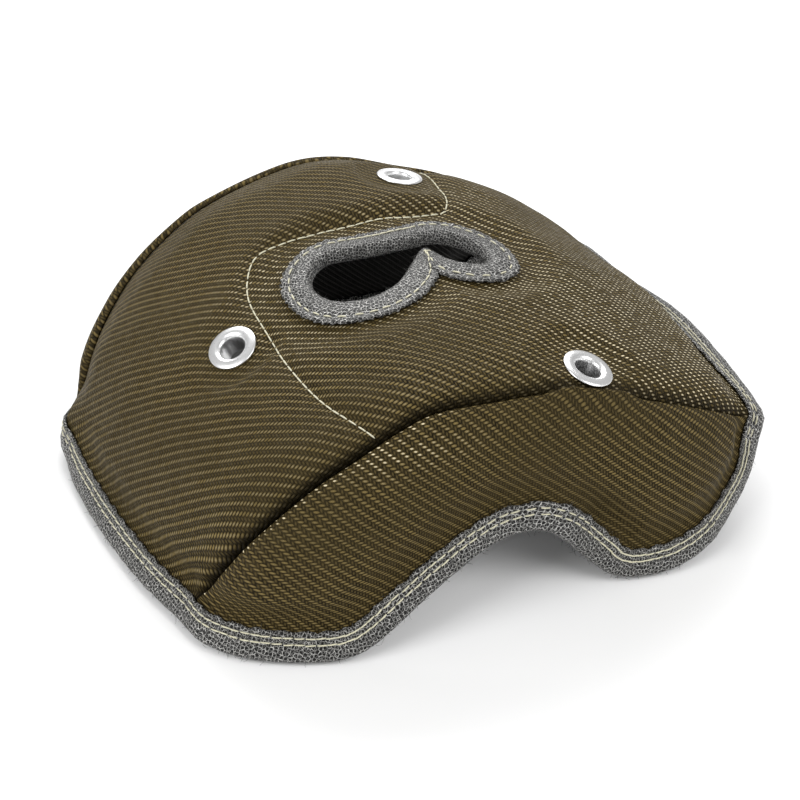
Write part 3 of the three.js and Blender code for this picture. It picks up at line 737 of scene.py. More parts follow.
def twill_group():
    """Two-over-two twill: yarn height, which yarn is on top, and a tone for each float."""
    tree = bpy.data.node_groups.get("Twill weave")
    if tree:
        return tree
    g, i, o = new_group(
        "Twill weave",
        [("Vector", VECTOR, None), ("Yarn pitch", FLOAT, 0.00105), ("Waver", FLOAT, 0.12)],
        [("Height", FLOAT), ("Warp", FLOAT), ("Tone", FLOAT)])
    x, y, _ = g.split(i["Vector"])
    drift_x = g.mul(g.math("SUBTRACT", g.noise(i["Vector"], 60.0), 0.5), i["Waver"])
    drift_y = g.mul(g.math("SUBTRACT", g.noise(i["Vector"], 47.0), 0.5), i["Waver"])
    u = g.math("ADD", g.math("DIVIDE", x, i["Yarn pitch"]), g.mul(drift_x, 6.0))
    v = g.math("SUBTRACT", g.mul(drift_y, 6.0), g.math("DIVIDE", y, i["Yarn pitch"]))
    iu, iv = g.math("FLOOR", u), g.math("FLOOR", v)

    def round_yarn(k, whole):
        across = g.math("MULTIPLY_ADD", g.math("SUBTRACT", k, whole), 2.0, -1.0)
        return g.math("SQRT", g.math("SUBTRACT", 1.02, g.mul(across, across)))

    warp_turn = g.math("DIVIDE", g.math("SUBTRACT", v, iu), 4.0)
    weft_turn = g.math("DIVIDE", g.math("SUBTRACT", iv, u), 4.0)
    warp_rise = g.math("MULTIPLY_ADD", g.math("SINE", g.mul(warp_turn, 2 * math.pi)), 0.5, 0.5)
    weft_rise = g.math("MULTIPLY_ADD", g.math("COSINE", g.mul(weft_turn, 2 * math.pi)), -0.5, 0.5)
    warp_high = g.mul(round_yarn(u, iu), warp_rise)
    weft_high = g.mul(round_yarn(v, iv), weft_rise)
    warp_high = g.mul(warp_high, 0.62)
    warp_up = g.math("GREATER_THAN", warp_high, weft_high)
    g.put(o["Height"], g.math("MAXIMUM", warp_high, weft_high))
    g.put(o["Warp"], warp_up)
    warp_tone = g.scatter(g.join(iu, g.math("FLOOR", warp_turn), 1.0))
    weft_tone = g.scatter(g.join(g.math("FLOOR", weft_turn), iv, 7.0))
    pick = g.add("ShaderNodeMix", data_type="FLOAT")
    g.put(o["Tone"], g.fill(pick, (0, warp_up), (2, weft_tone), (3, warp_tone))[0])
    return g.tree


def knit_group():
    """Two layers of looped wire: height of the wire and a mask of it."""
    tree = bpy.data.node_groups.get("Knitted wire")
    if tree:
        return tree
    g, i, o = new_group(
        "Knitted wire",
        [("Vector", VECTOR, None), ("Loop size", FLOAT, 0.002), ("Disorder", FLOAT, 0.6)],
        [("Height", FLOAT), ("Wire", FLOAT), ("Tone", FLOAT)])
    layers = []
    for angle, shift, stretch, width in ((0.25, 0.0, 1.25, 0.13), (-0.5, 3.7, 0.9, 0.11)):
        turn = g.add("ShaderNodeMapping")
        g.put(turn.inputs["Vector"], i["Vector"])
        turn.inputs["Rotation"].default_value = (0, 0, angle)
        turn.inputs["Location"].default_value = (shift, shift, 0)
        x, y, _ = g.split(turn.outputs[0])
        cells = g.join(g.math("DIVIDE", x, i["Loop size"]),
                       g.math("DIVIDE", g.math("DIVIDE", y, i["Loop size"]), stretch))
        net = g.add("ShaderNodeTexVoronoi", voronoi_dimensions="2D", feature="DISTANCE_TO_EDGE")
        g.fill(net, ("Vector", cells), ("Scale", 1.0), ("Randomness", i["Disorder"]))
        layers.append(g.steps(net.outputs["Distance"], width, 0.02))
    top, under = layers
    under = g.mul(under, 0.62)
    g.put(o["Height"], g.math("MAXIMUM", top, under))
    # Painted shade: the lower layer of wire counts only about half in the wire mask, so it is painted darker
    # than the top layer.
    wire, deeper = g.steps(top, 0.2, 0.7), g.mul(g.steps(under, 0.15, 0.5), 0.55)
    g.put(o["Wire"], g.math("MAXIMUM", wire, deeper))
    g.put(o["Tone"], g.noise(i["Vector"], 900.0, 1.0))
    return g.tree


def wear_group():
    """Broad unevenness and fine soil that every cloth and thread takes."""
    tree = bpy.data.node_groups.get("Cloth wear")
    if tree:
        return tree
    g, i, o = new_group(
        "Cloth wear",
        [("Vector", VECTOR, None), ("Broad", FLOAT, 25.0), ("Fine", FLOAT, 700.0)],
        [("Shade", FLOAT), ("Grain", FLOAT)])
    g.put(o["Shade"], g.steps(g.noise(i["Vector"], i["Broad"], 3.0), 0.3, 0.7))
    g.put(o["Grain"], g.noise(i["Vector"], i["Fine"], 2.0, 0.7))
    return g.tree


def new_material(name, colour):
    m = bpy.data.materials.new(name)
    m.use_nodes = True
    m.diffuse_color = (*colour[:3], 1)
    g = Graph(m.node_tree)
    shader = g.add("ShaderNodeBsdfPrincipled")
    out = g.add("ShaderNodeOutputMaterial")
    g.put(out.inputs["Surface"], shader.outputs[0])
    return m, g, shader.inputs


def bump(g, shader, height, distance):
    node = g.add("ShaderNodeBump")
    node.inputs["Strength"].default_value = 1.0
    node.inputs["Distance"].default_value = distance
    g.put(node.inputs["Height"], height)
    g.put(shader["Normal"], node.outputs[0])


def rgba(colour, k=1.0):
    return (*[c * k for c in colour[:3]], 1.0)


def twill_material(name, s, pitch, colour, glint, relief):
    m, g, shader = new_material(name, colour)
    uv = g.uv()
    weave = g.group(twill_group(), Vector=uv, Yarn_pitch=pitch)
    wear = g.group(wear_group(), Vector=g.place())
    # Painted shade and painted highlight: the valleys between yarns are painted near black and the float
    # crowns brighter than the cloth, standing in for the shade between the yarns and the light on their tops.
    body = g.mix(g.steps(weave["Height"], 0.35, 0.97), rgba(colour, 0.07), rgba(colour, 1.9))
    toned = g.mix(g.mul(weave["Tone"], 0.35), body, rgba(colour, 0.7))
    shaded = g.mix(g.mul(wear["Shade"], 0.45), toned, rgba(colour, 0.4))
    # Painted shade: the face is darkened towards near black along the front seam, where it rolls under the
    # band.
    crease = g.mark("crease")
    shaded = g.mix(crease, shaded, rgba(colour, 0.05))
    # Painted highlight: the float crowns take the highlight colour where the mesh attribute asks for it,
    # scaled by each float's tone.
    lit = g.mark("glint")
    crown = g.steps(weave["Height"], 0.78, 0.95)
    painted_sparkle = g.mul(g.mul(crown, lit), g.steps(weave["Tone"], 0.0, 0.6))
    g.put(shader["Base Color"], g.mix(painted_sparkle, shaded, rgba(glint)))
    g.put(shader["Roughness"], g.math("MULTIPLY_ADD", weave["Tone"], -0.15, s.gloss))
    shader["Specular IOR Level"].default_value = 0.06
    bump(g, shader, g.math("MULTIPLY_ADD", wear["Grain"], 0.08, weave["Height"]), relief)
    return m


def knit_material(name, s, loop, colour):
    m, g, shader = new_material(name, colour)
    uv = g.uv()
    knit = g.group(knit_group(), Vector=uv, Loop_size=loop, Disorder=s.disorder)
    wear = g.group(wear_group(), Vector=g.place(), Broad=60.0)
    wire = g.mix(g.steps(knit["Tone"], 0.3, 0.7), rgba(colour, 0.5), rgba(colour, 2.3))
    wire = g.mix(g.mul(wear["Shade"], 0.25), wire, rgba(colour, 0.6))
    # Between the wires the tape is painted near black: partly the dark cloth beneath, partly painted shade in
    # the holes of the knit.
    g.put(shader["Base Color"], g.mix(knit["Wire"], rgba(colour, 0.03), wire))
    shader["Specular IOR Level"].default_value = 0.2
    g.put(shader["Metallic"], g.mul(knit["Wire"], 0.45))
    shader["Roughness"].default_value = 0.42
    bump(g, shader, knit["Height"], 0.00045)
    return m


def thread_material(name, s):
    m, g, shader = new_material(name, s.dye)
    uv = g.uv()
    x, y, _ = g.split(uv)
    phase = g.math("MULTIPLY_ADD", y, 2 * math.pi * 2, g.mul(x, 2 * math.pi * 3))
    ply = g.math("MULTIPLY_ADD", g.math("SINE", phase), 0.5, 0.5)
    wear = g.group(wear_group(), Vector=g.place(), Broad=90.0, Fine=3000.0)
    base = g.mix(ply, rgba(s.dye, 0.72), rgba(s.dye))
    g.put(shader["Base Color"], g.mix(g.mul(wear["Shade"], 0.25), base, rgba(s.dye, 0.6)))
    g.put(shader["Roughness"], g.math("MULTIPLY_ADD", wear["Grain"], 0.2, 0.45))
    bump(g, shader, ply, 0.0001)
    return m


def felt_material(name, colour):
    m, g, shader = new_material(name, colour)
    place = g.place()
    wear = g.group(wear_group(), Vector=place, Broad=120.0, Fine=1500.0)
    fibres = g.noise(place, 2200.0, 4.0, 0.75)
    g.put(shader["Base Color"], g.mix(g.steps(fibres, 0.3, 0.7), rgba(colour, 0.6), rgba(colour)))
    g.put(shader["Roughness"], g.math("MULTIPLY_ADD", wear["Grain"], 0.15, 0.82))
    bump(g, shader, g.math("ADD", fibres, wear["Shade"]), 0.0004)
    return m


def metal_material(name, s):
    m, g, shader = new_material(name, s.metal)
    place = g.place()
    wear = g.group(wear_group(), Vector=place, Broad=150.0, Fine=2600.0)
    tone = g.mix(g.mul(wear["Shade"], 0.2), rgba(s.metal), rgba(s.metal, 0.8))
    g.put(shader["Base Color"], tone)
    shader["Metallic"].default_value = 1.0
    g.put(shader["Roughness"], g.math("MULTIPLY_ADD", wear["Grain"], 0.16, s.roughness))
    bump(g, shader, wear["Grain"], 0.00003)
    return m


MATERIALS = {}


def material(name, make):
    if name not in MATERIALS:
        MATERIALS[name] = make()
    return MATERIALS[name]


# ---- settings


def colour(name, text, default):
    return FloatVectorProperty(name=name, description=text, subtype="COLOR", size=3, default=default)


def length(name, text, default):
    return FloatProperty(name=name, description=text, default=default, unit="LENGTH", precision=5)


def number(name, text, default, **limits):
    return FloatProperty(name=name, description=text, default=default, **limits)


class BlanketCloth(PropertyGroup):
    pitch: length("Yarn pitch", "Distance between yarns", 0.00105)
    liner_pitch: length("Liner pitch", "Yarn pitch of the liner", 0.0008)
    basalt: colour("Basalt cloth", "Colour of the outer cloth", (0.108, 0.079, 0.029))
    # Colour of the painted highlight on the float crowns.
    glint: colour("Filament glint", "Colour of the bright float crowns", (0.72, 0.63, 0.43))
    # Near black: partly the inner cloth's own dark colour, partly painted shade standing for the dim inside
    # of the blanket.
    liner: colour("Liner", "Colour of the inner cloth", (0.06, 0.058, 0.054))
    felt: colour("Felt", "Colour of the insulation", (0.72, 0.68, 0.58))
    gloss: number("Roughness", "Roughness of the cloth", 0.62, min=0, max=1)


class BlanketTape(PropertyGroup):
    rim_loop: length("Rim loop", "Size of a knitted loop at the rim", 0.00135)
    opening_loop: length("Opening loop", "Size of a knitted loop at the opening", 0.00105)
    disorder: number("Disorder", "Unevenness of the knit", 0.6, min=0, max=1)
    wire: colour("Wire", "Colour of the steel wire", (0.36, 0.355, 0.34))
    ends: IntProperty(name="Wire ends", description="Loose wire ends along the rim", default=700, min=0)


class BlanketThread(PropertyGroup):
    pitch: length("Stitch pitch", "Length of one stitch with its gap", 0.0039)
    thickness: length("Thread", "Diameter of the sewing thread", 0.0006)
    dye: colour("Thread colour", "Colour of the sewing thread", (0.82, 0.78, 0.58))


class BlanketEyelets(PropertyGroup):
    metal: colour("Metal", "Colour of the eyelets", (0.93, 0.93, 0.93))
    roughness: number("Roughness", "Roughness of the eyelets", 0.22, min=0, max=1)
    steps: IntProperty(name="Steps", description="Steps round an eyelet", default=72, min=16)


class BlanketStage(PropertyGroup):
    floor: colour("Floor", "Colour of the floor", (0.93, 0.93, 0.93))
    surround: number("Surround", "Strength of the light from all round", 0.5, min=0)
    target: FloatVectorProperty(name="Target", description="Point that the camera looks at", unit="LENGTH",
                                size=3, default=(-0.0006337, -0.0187717, 0.0378706))
    distance: length("Distance", "Distance of the camera", 0.596)
    azimuth: number("Azimuth", "Way round of the camera, in degrees", -24.5)
    elevation: number("Elevation", "Height of the camera, in degrees", 35.0)
    lens: number("Lens", "Focal length on a 36 mm sensor", 70.2)


SETTINGS = (
    ("blanket_cloth", BlanketCloth),
    ("blanket_tape", BlanketTape),
    ("blanket_thread", BlanketThread),
    ("blanket_eyelets", BlanketEyelets),
    ("blanket_stage", BlanketStage))


# ---- panels


def grow_loop(loop, by):
    t = unit(np.roll(loop, -1, 0) - np.roll(loop, 1, 0))
    return loop[:, :2] + np.stack([t[:, 1], -t[:, 0]], -1) * by


def holes(opening_margin, eyelet_margin):
    """Says where a face sheet is cut away round the opening and the eyelets."""

    def gone(u, v):
        p = face_base(u, v)
        out = inside_loop(p, grow_loop(opening_loop, opening_margin))
        for _, c, _n in SEATS:
            out |= np.linalg.norm(p - c, axis=1) < EYELET_BORE / 2 + BARREL_WALL + eyelet_margin
        return out

    return gone


CLOTH_HOLES = holes(2.0, 0.6)
PAD_HOLES = holes(3.5, 1.6)

# Patches of painted highlight on the float crowns, in plan: centre, reach in X and Y, strength
PAINTED_GLINT_PATCHES = (
    (22, 30, 40, 16, 0.9), (-28, 34, 28, 12, 0.8), (48, -12, 32, 26, 0.7), (80, -52, 44, 30, 1.0),
    (98, -20, 30, 30, 0.8), (-2, -12, 30, 12, 0.5), (48, 58, 16, 12, 0.7), (-46, 0, 12, 22, 0.5))


# Width of the painted shade along the front seam.
SEAM_SHADE_WIDTH = 3.6
# Share of a band's height from which its cut edge at the seam is painted with highlight
BRIGHT_EDGE = 0.962


def face_marks(u, v, placed):
    """Painted highlight on the float crowns, and painted shade along the front seam where the face rolls
    under the band.
    """
    glint = np.full(len(placed), 0.12)
    for x, y, rx, ry, k in PAINTED_GLINT_PATCHES:
        glint += k * np.exp(-((placed[:, 0] - x) / rx) ** 2 - ((placed[:, 1] - y) / ry) ** 2)
    # Painted shade along the front seam, strongest on the left; the painted highlight is taken out where it
    # falls.
    shade_strength = lerp(0.95, 0.6, smooth((placed[:, 0] + 60) / 120))
    crease = shade_strength * np.exp(-((v * FACE_DEPTH / SEAM_SHADE_WIDTH) ** 4))
    return {"glint": np.clip(glint, 0, 1) * (1 - crease), "crease": crease}


def band_marks(u, v, placed):
    """Painted highlight: along the cut edge of the front band at the seam, and on an area just below it where
    light falls.
    """
    x, y, z = placed.T
    edge = 1.5 * (v > BRIGHT_EDGE) * smooth((-8 - x) / 30)
    patch = 0.8 * np.exp(-(((x + 42) / 22) ** 2) - ((z - 72) / 5) ** 2)
    return {"glint": np.clip(0.03 + (edge + patch) * (y < 0), 0, 1)}


BANDS = (
    ("front", front_base, front_normal, front_seam, front_rim, 0.0, True),
    ("back", back_base, back_normal, back_seam, back_rim, 1.0, False))


def face_grid(inset_u, inset_v, relief=None):
    """Lays a face sheet inside its hems by inset_u and inside its seams by inset_v."""
    eu, ev = inset_u / front_seam.length, inset_v / FACE_DEPTH

    def place(u, v, layer):
        return face_place(eu + u * (1 - 2 * eu), ev + v * (1 - 2 * ev), layer, relief)

    return place


def band_grid(base, normal, seam, rim, edge, up, inset_seam, inset_hem, relief=None):
    def place(u, v, layer):
        t = 1 - v if up else v
        s = END * 0.5 + u * (1 - END)
        height = np.linalg.norm(seam.at(s) - rim.at(s), axis=1)
        low = np.minimum(inset_seam / height, 0.4)
        high = 1 - np.minimum(inset_hem / height, 0.4)
        return band_place(base, normal, edge, s, low + t * (high - low), layer, relief)

    def cloth(u, v):
        return band_cloth_uv(rim, base, END * 0.5 + u * (1 - END), 1 - v if up else v)

    return place, cloth


def lay_bands(kind, across, along, layer, inset_seam, inset_hem, relief=None, marks=None):
    """Makes one layer of both bands, giving each band's name with its piece."""
    for name, base, normal, seam, rim, edge, up in BANDS:
        place, uv = band_grid(base, normal, seam, rim, edge, up, inset_seam, inset_hem, relief)
        yield name, shell(f"{name}_band_{kind}", across, along, place, *layer, uv, crowd=0.5, marks=marks)


class BLANKET_OT_outer_panels(Operator):
    """Cuts and lays the three panels of twill cloth"""

    bl_idname = "blanket.outer_panels"
    bl_label = "Outer panels"

    def execute(self, context):
        s = context.scene.blanket_cloth
        cloth = material("basalt_twill", lambda: twill_material(
            "basalt_twill", s, s.pitch, s.basalt, s.glint, 0.0006))
        face = shell("face_cover", 210, 170, face_grid(EDGE_INSET, 0.0, cloth_relief), *COVER,
                     face_cloth_uv, CLOTH_HOLES, marks=face_marks)
        finish_piece(face, "basalt_cloth", cloth, "face_outer_panel")
        for name, band in lay_bands("cover", 210, 78, COVER, 0.0, EDGE_INSET, band_relief, band_marks):
            finish_piece(band, "basalt_cloth", cloth, f"{name}_band_outer_panel")
        return {"FINISHED"}


class BLANKET_OT_padding(Operator):
    """Fills the wall with needled felt"""

    bl_idname = "blanket.padding"
    bl_label = "Insulation"

    def execute(self, context):
        s = context.scene.blanket_cloth
        felt = material("needled_felt", lambda: felt_material("needled_felt", s.felt))
        face = shell("face_padding", 110, 84, face_grid(3.0, 1.0, pad_relief),
                     *FELT, face_cloth_uv, PAD_HOLES)
        finish_piece(face, "needled_pad", felt, "face_insulation")
        for name, pad in lay_bands("padding", 110, 36, FELT, 3.4, 3.0):
            finish_piece(pad, "needled_pad", felt, f"{name}_band_insulation")
        return {"FINISHED"}


class BLANKET_OT_liners(Operator):
    """Lays the inner cloth on the side that faces the turbine"""

    bl_idname = "blanket.liners"
    bl_label = "Liners"

    def execute(self, context):
        s = context.scene.blanket_cloth
        cloth = material("liner_twill", lambda: twill_material(
            "liner_twill", s, s.liner_pitch, s.liner, s.liner, 0.0002))
        face = shell("face_lining", 120, 90, face_grid(EDGE_INSET, 0.2, face_tuck), *LINING,
                     face_cloth_uv, CLOTH_HOLES)
        finish_piece(face, "liner_cloth", cloth, "face_liner")
        for name, band in lay_bands("lining", 120, 40, LINING, 0.2, EDGE_INSET):
            finish_piece(band, "liner_cloth", cloth, f"{name}_band_liner")
        return {"FINISHED"}


# ---- mesh tape


# Depth and half width of the furrow that a sewn row presses into the tape
ROW_SINK = 0.42
ROW_WIDTH = 0.9
# Unevenness of the knit, across and along the leg, and the waves in its surface and its edge
KNIT_JITTER = (0.07, 0.09)
SURFACE_WAVE, SURFACE_TURNS, SURFACE_DRIFT = 0.14, 61, 17
EDGE_WAVE, EDGE_TURNS, EDGE_BAND = 0.5, 97, 1.2


def tape_controls(leg, top):
    """Outline of the folded tape, from the middle of the fold over the outer leg and round: (d, h) rows."""
    low = top - WALL - 2 * TAPE_GAP
    mid = (top + low) / 2
    o = np.ones_like(leg)
    out_top, out_low = top + TAPE, low - TAPE
    rows = [
        (0 * o, mid), (0.12 * o, mid + 1.1), (0.6 * o, out_top - 0.95), (1.6 * o, out_top - 0.25),
        (2.9 * o, out_top), (leg * 0.55, out_top), (leg - 0.5, out_top - 0.1), (leg, out_top - 0.45),
        (leg, top - 0.1), (leg - 0.5, top - 0.25), (2.4 * o, top),
        (TAPE * o, mid + 0.6), (TAPE * o, mid - 0.6),
        (2.4 * o, low), (leg - 0.5, low + 0.25), (leg, low + 0.1), (leg, out_low + 0.45),
        (leg - 0.5, out_low + 0.1), (leg * 0.55, out_low), (2.9 * o, out_low), (1.6 * o, out_low + 0.25),
        (0.6 * o, out_low + 0.95), (0.12 * o, mid - 1.1)]
    d = np.stack([r[0] for r in rows])
    h = np.stack([np.broadcast_to(r[1], leg.shape) for r in rows])
    return d, h


def tape_section(turn, roll, leg_at, top, rows_at, seed):
    """Section point (d, h) at each share round the loop and round the section."""
    leg = leg_at(turn)
    d, h = tape_controls(leg, top)
    typical_d, typical_h = tape_controls(np.array([RIM_LEG]), top)
    loop_d, loop_h = np.append(typical_d[:, 0], typical_d[0, 0]), np.append(typical_h[:, 0], typical_h[0, 0])
    run = np.concatenate([[0], np.cumsum(np.hypot(np.diff(loop_d), np.diff(loop_h)))])
    index = np.interp(roll, run / run[-1], np.arange(len(run)))
    i = np.minimum(index.astype(int), len(d) - 1)
    f, j, n = index - i, (i + 1) % len(d), np.arange(len(turn))
    pd, ph = lerp(d[i, n], d[j, n], f), lerp(h[i, n], h[j, n], f)
    outer = ph > top + 0.3
    for row in rows_at(turn):
        ph = ph - np.where(outer, ROW_SINK * np.exp(-(((pd - row) / ROW_WIDTH) ** 2)), 0)
    rng = np.random.default_rng(seed)
    round_loop = turn * 2 * np.pi
    wave = np.sin(round_loop * SURFACE_TURNS + 3 * np.sin(round_loop * SURFACE_DRIFT)) * np.clip(pd / 4, 0, 1)
    scallop = EDGE_WAVE * np.sin(round_loop * EDGE_TURNS)
    ph = ph + rng.normal(0, KNIT_JITTER[0], len(ph)) + np.where(outer, SURFACE_WAVE * wave, 0)
    pd = pd + rng.normal(0, KNIT_JITTER[1], len(ph)) + np.where(pd > leg - EDGE_BAND, scallop, 0)
    return pd, ph


class LoopFrames:
    """Fold points with their inward and outward directions, read smoothly round a closed loop."""

    def __init__(self, p, w, n):
        self.parts = [Curve(values, closed=True, fine=16).path for values in (p, w, n)]
        self.share = np.linspace(0, 1, len(self.parts[0]))
        run = np.linalg.norm(np.diff(self.parts[0], axis=0), axis=1)
        self.length = run.sum()
        self.by_length = np.concatenate([[0], np.cumsum(run)]) / self.length

    def at(self, turn):
        """Frames at shares of the loop's length."""
        station = np.interp(np.mod(turn, 1), self.by_length, self.share)
        p, w, n = (np.stack([np.interp(station, self.share, part[:, k]) for k in range(3)], -1)
                   for part in self.parts)
        return p, unit(w), unit(n), station


def opening_frames():
    u, v = face_at(opening_loop[:, 0], opening_loop[:, 1])
    p = face_place(u, v, (0.0, 0.0))
    n = face_normal(u, v)
    t = unit(np.roll(opening_loop, -1, 0) - np.roll(opening_loop, 1, 0))
    w = np.stack([t[:, 1], -t[:, 0], np.zeros(len(t))], -1)
    return p, unit(w - n * dot(w, n)[:, None]), n, t


TONGUE_LAP = 1.6


def opening_legs(w, t):
    """Leg length at each station; on the tongue the legs lap over each other."""
    legs = []
    count = len(t)
    for i in range(count):
        out = np.array([t[i, 1], -t[i, 0]])
        away = np.minimum((np.arange(count) - i) % count, (i - np.arange(count)) % count)
        q = opening_loop[away >= 2] - opening_loop[i]
        along = q @ out
        reach = (q**2).sum(1)[along > 0] / along[along > 0]
        meet = min(2 * OPENING_LEG, reach.min() if len(reach) else 99) / 2
        end = OPENING_FRONT_LEG if w[i, 1] < 0 else OPENING_BACK_LEG
        legs.append(max(MIN_LEG, min(OPENING_LEG + (end - OPENING_LEG) * w[i, 1] ** 2, meet + TONGUE_LAP)))
    return np.array(legs)


RIM = LoopFrames(RIM_P, RIM_W, RIM_N)
OPEN_P, OPEN_W, OPEN_N, OPEN_T = opening_frames()
OPEN = LoopFrames(OPEN_P, OPEN_W, OPEN_N)
OPEN_LEGS = opening_legs(OPEN_W, OPEN_T)


def open_leg(turn):
    shares = np.arange(OPENING_STATIONS + 1) / OPENING_STATIONS
    return np.interp(OPEN.at(turn)[3], shares, np.append(OPEN_LEGS, OPEN_LEGS[0]))


def rim_leg(turn):
    return np.full_like(turn, RIM_LEG)


def tape_place(frames, leg_at, top, rows_at, seed, backwards):
    def place(turn, roll):
        k = np.mod(1 - turn, 1) if backwards else turn
        p, w, n, _ = frames.at(k)
        d, h = tape_section(k, roll, leg_at, top, rows_at, seed)
        return p + w * d[:, None] + n * h[:, None]

    return place


SECTION_LENGTH = 56.0


class BLANKET_OT_tapes(Operator):
    """Folds the knitted wire tape over the rim and over the opening's edge"""

    bl_idname = "blanket.tapes"
    bl_label = "Wire tapes"

    def execute(self, context):
        s = context.scene.blanket_tape
        rim = loop_piece(
            "rim_tape", 760, 60,
            tape_place(RIM, rim_leg, RIM_TOP, lambda k: (RIM_ROW_OUTER, RIM_ROW_INNER), 5, False),
            lambda t, r: np.stack([t * RIM.length, r * SECTION_LENGTH], -1))
        finish_piece(rim, "wire_tape", material("rim_knit", lambda: knit_material(
            "rim_knit", s, s.rim_loop, s.wire)), "rim_binding")
        opening = loop_piece(
            "opening_tape", 300, 60,
            tape_place(OPEN, open_leg, TAPE_GAP, lambda k: (open_leg(k) * OPENING_ROW,), 6, True),
            lambda t, r: np.stack([t * OPEN.length, r * SECTION_LENGTH], -1))
        finish_piece(opening, "wire_tape", material("opening_knit", lambda: knit_material(
            "opening_knit", s, s.opening_loop, s.wire)), "opening_binding")
        return {"FINISHED"}


# ---- sewing


def one_stitch(radius, length):
    """One stitch along X, its ends drawn down into the cloth, as (points, faces, uvs per corner)."""
    select_none()
    bpy.ops.mesh.primitive_uv_sphere_add(segments=8, ring_count=7, radius=1.0)
    piece = bpy.context.object
    edit_all()
    bpy.ops.transform.rotate(value=math.pi / 2, orient_axis="Y", center_override=(0, 0, 0))
    bpy.ops.object.mode_set(mode="OBJECT")
    co = coords(piece.data)
    x = np.sign(co[:, 0]) * np.abs(co[:, 0]) ** 0.75
    fat = radius * (1 - 0.2 * np.abs(x) ** 3)
    ring = np.maximum(np.hypot(co[:, 1], co[:, 2]), 1e-6)
    grow = np.minimum(1, ring * 1.25) / ring * fat
    grow[ring < 0.01] = 0
    points = np.stack([x * length / 2, co[:, 1] * grow, co[:, 2] * grow - 0.26 * np.abs(x) ** 2.5], -1)
    faces = [tuple(p.vertices) for p in piece.data.polygons]
    corner = np.array([v for f in faces for v in f])
    around = np.mod(np.arctan2(co[:, 2], co[:, 1]) / (2 * np.pi), 1)
    uvs = np.stack([x[corner], around[corner]], -1)
    mesh = piece.data
    bpy.data.objects.remove(piece)
    bpy.data.meshes.remove(mesh)
    return points, faces, uvs


def sew(name, centres, along, up, template):
    """Copies a stitch to every place and joins the copies into one piece."""
    points, faces, uvs = template
    side = unit(np.cross(up, along))
    up = np.cross(along, side)
    count = len(points)
    co = (centres[:, None] + points[None, :, 0:1] * along[:, None] + points[None, :, 1:2] * side[:, None]
          + points[None, :, 2:3] * up[:, None]).reshape(-1, 3)
    every = [tuple(v + k * count for v in f) for k in range(len(centres)) for f in faces]
    piece = piece_from(name, co, every, "thread")
    piece.data.uv_layers[0].data.foreach_set("uv", np.tile(uvs, (len(centres), 1)).astype(np.float32).ravel())
    piece.data.polygons.foreach_set("use_smooth", np.ones(len(every), bool))
    return piece


def stitch_stations(length, pitch, seed):
    count = int(round(length / pitch))
    rng = np.random.default_rng(seed)
    return (np.arange(count) + rng.uniform(-0.07, 0.07, count)) / count, rng


def loop_row(frames, row_at, height, pitch, seed):
    """Centres, directions and normals of the stitches of one row round a tape."""
    k, rng = stitch_stations(frames.length, pitch, seed)

    def spot(turn):
        p, w, n, _ = frames.at(turn)
        return p + w * row_at(turn)[:, None] + n * height, w, n

    centre, w, n = spot(k)
    ahead = unit(spot(k + 0.002)[0] - spot(k - 0.002)[0])
    centre = centre + w * rng.normal(0, 0.1, len(k))[:, None]
    ahead = unit(ahead + w * (0.04 + rng.normal(0, 0.03, len(k)))[:, None])
    return centre, ahead, n


def cover_points(x, y, h):
    u, v = face_at(x, y)
    return face_place(u, v, (h, PUFF_OUT), cloth_relief), face_normal(u, v)


# Share of a pitch that a stitch fills, pitch round the opening, and the sewn share of the quilting line
STITCH_FILL = 0.97
OPENING_PITCH = 3.4
QUILT_START, QUILT_SHARE = 0.015, 0.97


class BLANKET_OT_sewing(Operator):
    """Sews the two rows on the rim, the row round the opening and the quilting line"""

    bl_idname = "blanket.sewing"
    bl_label = "Stitches"

    def execute(self, context):
        s = context.scene.blanket_thread
        pitch, r = s.pitch / MM, s.thickness / MM / 2
        thread = material("sewing_thread", lambda: thread_material("sewing_thread", s))
        stitch = one_stitch(r, pitch * STITCH_FILL)
        height = RIM_TOP + TAPE - ROW_SINK + r * 0.9
        for name, row, node, seed in (("rim_sewing_outer", RIM_ROW_OUTER, "rim_stitch_outer", 11),
                                      ("rim_sewing_inner", RIM_ROW_INNER, "rim_stitch_inner", 12)):
            places = loop_row(RIM, lambda k, row=row: np.full_like(k, row), height, pitch, seed)
            made = sew(name, *places, stitch)
            finish_piece(made, "sewing_thread", thread, node)
        short = one_stitch(r, OPENING_PITCH)
        height = TAPE_GAP + TAPE - ROW_SINK + r * 0.9
        places = loop_row(OPEN, lambda k: open_leg(k) * OPENING_ROW, height, OPENING_PITCH, 13)
        made = sew("opening_sewing", *places, short)
        finish_piece(made, "sewing_thread", thread, "opening_stitch")
        k = QUILT_START + stitch_stations(QUILT.length * QUILT_SHARE, pitch, 14)[0] * QUILT_SHARE
        q = QUILT.at(k)
        step = 0.4
        way = unit(QUILT.at(k + step / QUILT.length) - q)
        c, n = cover_points(q[:, 0], q[:, 1], r * 0.8)
        c2, _ = cover_points(q[:, 0] + way[:, 0] * step, q[:, 1] + way[:, 1] * step, r * 0.8)
        made = sew("quilt_sewing", c, unit(c2 - c), n, stitch)
        finish_piece(made, "sewing_thread", thread, "quilt_stitch")
        return {"FINISHED"}


